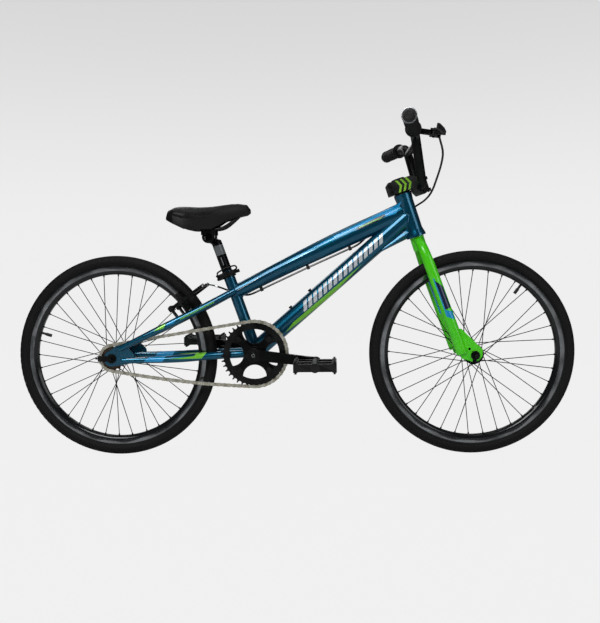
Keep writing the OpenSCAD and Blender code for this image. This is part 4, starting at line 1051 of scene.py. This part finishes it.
@dataclass
class Cockpit(Assembly):
    """Stem, handlebar, grips, brake lever and the front run of housing."""

    title = "cockpit"

    grip_sweep: float = 10.3
    grip_rise: float = 2.0
    grip_len: float = 128.0
    ring: float = 5.0
    stem_reach: float = 46.0
    clamp_s: float = 429.5
    bar_rise: float = 109.0
    bar_lean: float = 0.21
    upright_y: float = 97.0
    half_bar: float = 290.0
    print_start: float = -10.0
    print_pitch: float = 12.0

    def build(self) -> None:
        """Refine the alloy parts and make the ribbed grips."""
        for node, slot, bevel in (
            ("headset_cover", Slot.ALLOY, 0.6), ("stem", Slot.STEM, 1.4), ("stem_faceplate", Slot.STEM, 1.4),
            ("stem_bolts", Slot.STEEL, 0.7),
            ("brake_lever_bracket", Slot.ALLOY, 0.8), ("brake_lever_blade", Slot.ALLOY, 1.2),
        ):
            self.refine(node, slot, bevel)
        self.refine("handlebar", Slot.ALLOY, 0)
        low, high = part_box("brake_cable_front")
        self.refine("brake_cable_front", Slot.HOUSING, 0,
                    bend=Bend("frame", (low.x, low.y, low.z + 10 * MM), (low.x, low.y, high.z - 50 * MM)))
        for side in (-1, 1):
            self.grip(side)
        self.chevrons()

    def grip(self, side: int) -> None:
        """Make one ribbed grip with the ring and the cap at its end.

        Args:
            side: 1 for the rider's left and -1 for the right.
        """
        sweep, rise = math.radians(self.grip_sweep), math.radians(self.grip_rise)
        out = Vector((-math.sin(sweep), math.cos(sweep) * side, math.sin(rise))).normalized()
        end = self.bar_end(side)
        profile: list[Point] = [(11.3, -self.grip_len - self.ring)]
        profile += [(17.7, -self.grip_len - self.ring), (18.5, -self.grip_len - self.ring + 0.8),
                    (18.5, -self.grip_len - self.ring + 3.2), (17.7, -self.grip_len - self.ring + 4)]
        at = -self.grip_len - self.ring + 5
        while at < -self.ring - 5:
            waist = 15.2 + 0.7 * math.sin(math.pi * (at + self.grip_len) / self.grip_len) ** 2
            profile += [(waist - 0.9, at), (waist, at + 0.5), (waist, at + 1.9), (waist - 0.9, at + 2.4)]
            at += 3.4
        profile += [(15.2, -self.ring - 3.5), (15.9, -self.ring - 2.5), (15.9, -self.ring - 0.2), (11.3, -self.ring)]
        word = "left" if side > 0 else "right"
        self.piece(f"grip_{word}", lathe(profile, end, out, 72, closed=True), "steering", Slot.GRIP, ("grips",))
        ring = [(11.2, -self.ring + 0.2), (15.9, -self.ring + 0.2), (16.5, -self.ring + 0.8), (16.5, -1.2),
                (16.1, -0.4), (14.6, -0.3), (14.4, -1.6), (11.2, -1.6)]
        self.piece(f"bar_ring_{word}", lathe(ring, end, out, 96, closed=True), "steering", Slot.RING,
                   ("bar_end_plugs",), sharp=40)
        cap = [(0, -16), (9, -16), (9.2, -1.4), (14.2, -1.4), (14.2, 0.6), (13.4, 1.6), (9.5, 2.1), (9, 1.7),
               (0.01, 1.7)]
        self.piece(f"bar_cap_{word}", lathe(cap, end, out, 72), "steering", Slot.PLASTIC, ("bar_end_plugs",))

    def bar_end(self, side: int) -> Vector:
        """End of the bar's centre line on one side.

        Args:
            side: 1 for the rider's left and -1 for the right.

        Returns:
            The point, in millimetres.
        """
        clamp = PLACES.steer(self.stem_reach, 0, self.clamp_s)
        top = clamp + Vector((-self.bar_rise * self.bar_lean, self.upright_y, self.bar_rise))
        sweep, rise = math.radians(self.grip_sweep), math.radians(self.grip_rise)
        out = Vector((-math.sin(sweep), math.cos(sweep), math.sin(rise))).normalized()
        end = top + out * ((self.half_bar - self.upright_y) / out.y)
        return Vector((end.x, end.y * side, end.z))

    def chevrons(self) -> None:
        """Print three chevrons on each side of the stem."""
        for side in (-1, 1):
            mesh = bmesh.new()
            for k in range(3):
                x = self.print_start + self.print_pitch * k
                outline = [(x, 431), (x + 5.5, 431), (x + 13, 446), (x + 5.5, 461), (x, 461), (x + 7.5, 446)]
                rows = [
                    [mesh.verts.new(PLACES.steer(px, side * y, pz) * MM) for px, pz in outline] for y in (21.5, 22.08)
                ]
                mesh.faces.new(rows[0])
                mesh.faces.new(rows[1])
                for i in range(len(outline)):
                    j = (i + 1) % len(outline)
                    mesh.faces.new((rows[0][i], rows[0][j], rows[1][j], rows[1][i]))
            bmesh.ops.recalc_face_normals(mesh, faces=mesh.faces)
            name = "stem_print_left" if side > 0 else "stem_print_right"
            self.piece(name, mesh, "steering", Slot.STEM, material=self.palette.lime)


# ---------- wheels ----------


@dataclass
class WheelSizes:
    """Sizes of a wheel, in millimetres."""

    tyre_centre: float = 239.0
    tyre_r: float = 14.0
    tread: float = 0.9
    bead: float = 228.9


@dataclass
class Wheel(Assembly):
    """Tyre with tread, rim, spokes, hub and valve."""

    title = "wheel"

    name: str = "front"
    sizes: WheelSizes = field(default_factory=WheelSizes)

    @property
    def centre(self) -> Vector:
        """Middle of the hub, in millimetres."""
        return middle(f"{self.name}_hub")

    def build(self) -> None:
        """Make the tyre, refine the metal parts and dress the inner tube."""
        self.tyre()
        self.refine(f"{self.name}_hub", Slot.ALLOY, 0.35)
        self.refine(f"{self.name}_rim", Slot.RIM, 0, material=self.palette.rims[f"{self.name}_rim"])
        self.refine(f"{self.name}_spokes", Slot.SPOKE, 0)
        self.dress(Slot.PLASTIC, f"{self.name}_inner_tube")

    def tyre(self) -> None:
        """Make the tyre's skin with a raised tread of small blocks."""
        z = self.sizes
        centre = self.centre
        count, steps = 44, 1000
        reach = math.radians(138)
        rings = []
        for i in range(steps):
            a = math.tau * i / steps
            out = Vector((math.cos(a), 0, math.sin(a)))
            ring = []
            for k in range(count + 1):
                f = -reach + 2 * reach * k / count
                r = z.tyre_r - z.tread + self.block(f, i)
                if abs(f) > math.radians(72):
                    r = z.tyre_r - z.tread * 0.6
                ring.append(centre + out * (z.tyre_centre + r * math.cos(f)) + Vector((0, r * math.sin(f), 0)))
            inner = z.bead - 1.5
            for y in (8.4, 7.0, -7.0, -8.4):
                ring.append(centre + out * (inner if abs(y) > 8 else inner + 2) + Vector((0, y, 0)))
            rings.append(ring)
        self.piece(f"{self.name}_tyre_skin", loft(rings, closed=True), f"{self.name}_wheel", Slot.TYRE,
                   (f"{self.name}_tyre",), sharp=50)

    def block(self, angle: float, step: int) -> float:
        """Height of the tread at a place on the tyre.

        Args:
            angle: Angle round the section from the middle of the tread.
            step: Number of the section round the wheel.

        Returns:
            Height above the casing, in millimetres.
        """
        share = abs(angle) / math.radians(72)
        if share >= 1:
            return 0.0
        row = int(share * 4.0)
        across = share * 4.0 - row
        lane = 1.0 if 0.14 < across < 0.86 or row == 0 and across < 0.86 else 0.0
        phase = (step + 5 * row + (3 if angle > 0 else 0)) % 10
        bar = 1.0 if phase < 7 or row == 0 else 0.0
        return self.sizes.tread * lane * bar


# ---------- drive ----------


@dataclass
class Drive(Assembly):
    """Cranks, ring, chain, cog and pedals."""

    title = "drive"

    def build(self) -> None:
        """Refine the drive's nodes."""
        for node, slot, bevel, segments in (
            ("right_crank", Slot.ALLOY, 2.6, 3), ("left_crank", Slot.ALLOY, 2.6, 3),
            ("chainring", Slot.ALLOY, 0.3, 2),
            ("bb_spindle", Slot.STEEL, 0.5, 2), ("crank_bolts", Slot.STEEL, 0.6, 2),
            ("pedal_axles", Slot.STEEL, 0.5, 2), ("right_pedal", Slot.PLASTIC, 1.3, 2),
            ("left_pedal", Slot.PLASTIC, 1.3, 2), ("freewheel_cog", Slot.COG, 0.25, 2),
        ):
            self.refine(node, slot, bevel, segments)
        self.dress(Slot.CHAIN, "chain")
        for side in (-1, 1):
            self.spindle_bolt(side)

    def spindle_bolt(self, side: int) -> None:
        """Set a bright socket bolt in the end of the spindle.

        Args:
            side: 1 for the rider's left and -1 for the right.
        """
        profile = [(0, 74), (4.3, 74), (4.6, 75.6), (4.6, 77), (4.0, 77.6), (2.6, 77.6), (2.4, 75.8), (0.01, 75.8)]
        name = "spindle_bolt_left" if side > 0 else "spindle_bolt_right"
        self.piece(name, lathe(profile, PLACES.bb, Vector((0, side, 0)), 48), "crankset", Slot.BRIGHT)


@dataclass
class RimBrake(Assembly):
    """Two arms, pads and the guide tube of the rear brake."""

    title = "brake"

    def build(self) -> None:
        """Refine the brake's nodes."""
        for node, slot, bevel in (
            ("right_brake_arm", Slot.ALLOY, 1.2), ("left_brake_arm", Slot.ALLOY, 1.2),
            ("right_brake_pad", Slot.GRIP, 0.8), ("left_brake_pad", Slot.GRIP, 0.8),
            ("brake_noodle", Slot.BRIGHT, 0.4),
        ):
            self.refine(node, slot, bevel)


# ---------- seat ----------


@dataclass
class Seat(Assembly):
    """Seatpost, saddle and the cam lever of the seat clamp."""

    title = "seat"

    length: float = 209.0
    width: float = 132.0
    base_z: float = 577.0
    rear_x: float = -309.0
    loop_r: float = 2.0
    stations: tuple[tuple[float, ...], ...] = (
        (0, 0.30, 0.13, 0.075), (0.04, 0.72, 0.19, 0.06), (0.12, 0.95, 0.222, 0.018), (0.25, 1.0, 0.222, -0.045),
        (0.4, 0.82, 0.213, -0.052), (0.55, 0.5, 0.22, -0.045), (0.7, 0.33, 0.24, 0.045),
        (0.85, 0.25, 0.256, 0.093), (0.96, 0.2, 0.24, 0.115), (1, 0.1, 0.185, 0.14),
    )

    def build(self) -> None:
        """Make the saddle and the lever, and refine the rest."""
        self.refine("seatpost", Slot.ALLOY, 0.8, material=self.palette.post)
        self.refine("saddle_clamp", Slot.ALLOY, 0.8)
        self.refine("saddle_rails", Slot.STEEL, 0)
        self.cam_lever()
        self.saddle()

    def section(self, q: float) -> tuple[float, float, float]:
        """Half width, top and bottom of the saddle at a share of its length.

        Args:
            q: Share of the length from the rear.

        Returns:
            Half width, height of the top and height of the bottom, in millimetres.
        """
        for a, b in zip(self.stations, self.stations[1:]):
            if q <= b[0] or b is self.stations[-1]:
                t = (q - a[0]) / (b[0] - a[0])
                half, top, low = (a[j] + (b[j] - a[j]) * t for j in (1, 2, 3))
                return half * self.width / 2, self.base_z + top * self.length, self.base_z + low * self.length
        raise ValueError(q)

    def saddle(self) -> None:
        """Make the base and the padded cover on it."""
        self.refine("saddle", Slot.SADDLE, 0.6, material=self.palette.shell)
        rings = []
        rows, count = 46, 40
        for i in range(rows + 1):
            q = 0.5 - 0.5 * math.cos(math.pi * i / rows)
            half, top, low = self.section(0.012 + q * 0.976)
            low = low + (top - low) * 0.4
            ring = []
            for k in range(count):
                a = math.tau * k / count
                c = math.copysign(abs(math.cos(a)) ** 0.75, math.cos(a))
                s = math.sin(a)
                z = low + (top - low) * max(0.0, s) ** 0.7 if s > 0 else low + 2.5 * s
                ring.append(Vector((self.rear_x + (0.012 + q * 0.976) * self.length, (half - 0.5) * c, z - 0.6)))
            rings.append(ring)
        pad = self.piece("saddle_cover", loft(rings), "saddle", Slot.SADDLE, ("saddle",), sharp=80)
        remesh = pad.modifiers.new("even", "REMESH")
        remesh.mode = "VOXEL"
        remesh.voxel_size = 0.004
        self.apply(pad)
        self.inflate(pad)
        smooth = pad.modifiers.new("soft", "SMOOTH")
        smooth.factor = 0.5
        smooth.iterations = 4
        self.apply(pad)
        rounding = pad.modifiers.new("round", "SUBSURF")
        rounding.levels = rounding.render_levels = 1
        self.apply(pad)
        pad.data.shade_smooth()

    @staticmethod
    def apply(thing: bpy.types.Object) -> None:
        """Bake a piece's modifiers into its mesh."""
        depsgraph = bpy.context.evaluated_depsgraph_get()
        data = bpy.data.meshes.new_from_object(thing.evaluated_get(depsgraph))
        thing.modifiers.clear()
        thing.data = data

    def inflate(self, pad: bpy.types.Object) -> None:
        """Swell the pad by a short cloth simulation, capped at 2 mm.

        Args:
            pad: The pad's object.
        """
        before = [v.co.copy() for v in pad.data.vertices]
        cloth = pad.modifiers.new("cloth", "CLOTH")
        cloth.settings.use_pressure = True
        cloth.settings.uniform_pressure_force = 4
        cloth.settings.effector_weights.gravity = 0
        cloth.settings.tension_stiffness = 20
        scene = bpy.context.scene
        for number in range(1, 14):
            scene.frame_set(number)
        self.apply(pad)
        scene.frame_set(1)
        for vertex, old in zip(pad.data.vertices, before):
            step = vertex.co - old
            if step.length > 0.002:
                vertex.co = old + step.normalized() * 0.002

    def cam_lever(self) -> None:
        """Refine the clamp's lever and lay an open loop on its hub."""
        self.refine("seat_clamp_lever", Slot.ALLOY, 0.9)
        hub = middle("seat_clamp_lever")
        low, high = (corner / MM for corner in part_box("seat_clamp_lever"))
        rise = PLACES.seat_axis
        along = Vector((rise.z, 0, -rise.x))
        start = Vector((low.x + 3, hub.y, hub.z))
        reach = high.x - low.x - 7
        corners = [(2, -3), (reach * 0.55, -6), (reach, -2), (reach * 0.97, 7), (reach * 0.5, 9), (3, 4)]
        points = [start + along * (x - 1) + rise * z for x, z in corners]
        loop = corner_path([*points, points[0]], [0, 7, 6, 6, 7, 5, 0], 6)[:-1]
        self.piece("cam_loop", pipe(loop, self.loop_r, 12, closed=True), "seat_clamp_lever", Slot.ALLOY)


# ---------- studio ----------


@dataclass
class Studio:
    """Floor, lights and camera."""

    eye: Vector = field(default_factory=lambda: Vector((0.0986, -1.7589, 0.4838)))
    yaw: float = -2.58
    pitch: float = -4.02
    roll: float = -0.84
    lens: float = 40.69
    paper_share: float = 0.97
    paper_tone: float = 0.86

    def build(self) -> None:
        """Set up the camera, the lights and the floor."""
        self.camera()
        self.world()
        self.floor()
        self.lights()
        bpy.context.scene.view_settings.view_transform = "Standard"

    def camera(self) -> None:
        """Place the camera."""
        data = bpy.data.cameras.new("view")
        data.lens = self.lens
        data.sensor_width = 36
        yaw, pitch, roll = (math.radians(a) for a in (self.yaw, self.pitch, self.roll))
        ahead = Vector((math.sin(yaw) * math.cos(pitch), math.cos(yaw) * math.cos(pitch), math.sin(pitch)))
        right = ahead.cross(Vector((0, 0, 1))).normalized()
        up = right.cross(ahead)
        turned = right * math.cos(roll) + up * math.sin(roll)
        raised = up * math.cos(roll) - right * math.sin(roll)
        thing = bpy.data.objects.new("view", data)
        bpy.context.scene.collection.objects.link(thing)
        thing.matrix_world = Matrix((
            (turned.x, raised.x, -ahead.x, self.eye.x),
            (turned.y, raised.y, -ahead.y, self.eye.y),
            (turned.z, raised.z, -ahead.z, self.eye.z),
            (0, 0, 0, 1),
        ))
        bpy.context.scene.camera = thing

    def world(self) -> None:
        """Pale all round, darker overhead, and dim where it is only reflected."""
        world = bpy.data.worlds.new("room")
        bpy.context.scene.world = world
        world.use_nodes = True
        tree = world.node_tree
        tree.nodes.clear()
        out = tree.nodes.new("ShaderNodeOutputWorld")
        mix = tree.nodes.new("ShaderNodeMixShader")
        seen = tree.nodes.new("ShaderNodeBackground")
        split = tree.nodes.new("ShaderNodeSeparateXYZ")
        tree.links.new(tree.nodes.new("ShaderNodeTexCoord").outputs["Generated"], split.inputs[0])
        tone = tree.nodes.new("ShaderNodeMapRange")
        tone.interpolation_type = "SMOOTHSTEP"
        tree.links.new(split.outputs["Z"], tone.inputs["Value"])
        for name, value in (("From Min", 0.02), ("From Max", 0.42), ("To Min", self.paper_tone), ("To Max", 0.66)):
            tone.inputs[name].default_value = value
        tree.links.new(tone.outputs[0], seen.inputs[0])
        around = tree.nodes.new("ShaderNodeBackground")
        around.inputs[0].default_value = (0.05, 0.053, 0.057, 1)
        path = tree.nodes.new("ShaderNodeLightPath")
        tree.links.new(path.outputs["Is Camera Ray"], mix.inputs[0])
        tree.links.new(around.outputs[0], mix.inputs[1])
        tree.links.new(seen.outputs[0], mix.inputs[2])
        tree.links.new(mix.outputs[0], out.inputs[0])

    def floor(self) -> None:
        """Lay a wide pale floor of one tone that takes a faint shadow."""
        graph = Graph("floor_paper")
        tree = graph.tree
        graph.shader.inputs["Base Color"].default_value = (0.8, 0.8, 0.8, 1)
        graph.shader.inputs["Roughness"].default_value = 0.9
        glow = graph.add("ShaderNodeEmission")
        glow.inputs["Color"].default_value = (self.paper_tone, self.paper_tone, self.paper_tone, 1)
        glow.inputs["Strength"].default_value = 1 / self.paper_share
        mix = graph.add("ShaderNodeMixShader")
        path = graph.add("ShaderNodeLightPath")
        graph.put(mix.inputs[0], graph.math("MULTIPLY", path.outputs["Is Camera Ray"], self.paper_share))
        tree.links.new(graph.shader.outputs[0], mix.inputs[1])
        tree.links.new(glow.outputs[0], mix.inputs[2])
        tree.links.new(mix.outputs[0], graph.out.inputs[0])
        mesh = bmesh.new()
        under = Matrix.Translation((0, 0, -0.0005))
        bmesh.ops.create_circle(mesh, cap_ends=True, segments=96, radius=60, matrix=under)
        data = bpy.data.meshes.new("floor")
        mesh.to_mesh(data)
        mesh.free()
        data.materials.append(graph.material)
        thing = bpy.data.objects.new("floor", data)
        bpy.context.scene.collection.objects.link(thing)

    @staticmethod
    def lights() -> None:
        """Hang the soft boxes."""
        for name, place, target, size, power in (
            ("key", (-0.9, -2.2, 2.3), (0, 0, 0.45), (1.6, 1.0), 40),
            ("fill", (2.2, -1.9, 1.3), (0.1, 0, 0.4), (1.2, 1.6), 13),
            ("top", (0.1, 0.2, 2.6), (0, 0, 0.4), (2.2, 1.0), 9),
            ("back", (-0.6, 2.4, 1.7), (0, 0, 0.4), (2.0, 1.2), 12),
        ):
            data = bpy.data.lights.new(name, "AREA")
            data.shape = "RECTANGLE"
            data.size, data.size_y = size
            data.energy = power
            thing = bpy.data.objects.new(name, data)
            bpy.context.scene.collection.objects.link(thing)
            thing.location = place
            thing.rotation_euler = (Vector(target) - Vector(place)).to_track_quat("-Z", "Y").to_euler()


def main() -> None:
    """Build every sub-assembly in order."""
    logging.basicConfig(level=logging.INFO, format="%(message)s", stream=sys.stdout)
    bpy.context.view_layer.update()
    Studio().build()
    palette = Palette()
    for assembly in (
        Frameset(palette), Fork(palette), Cockpit(palette),
        Wheel(palette, "front", WheelSizes()), Wheel(palette, "rear", WheelSizes()),
        Drive(palette), RimBrake(palette), Seat(palette),
    ):
        assembly.build()
    bpy.context.view_layer.update()


if __name__ == "__main__":
    main()
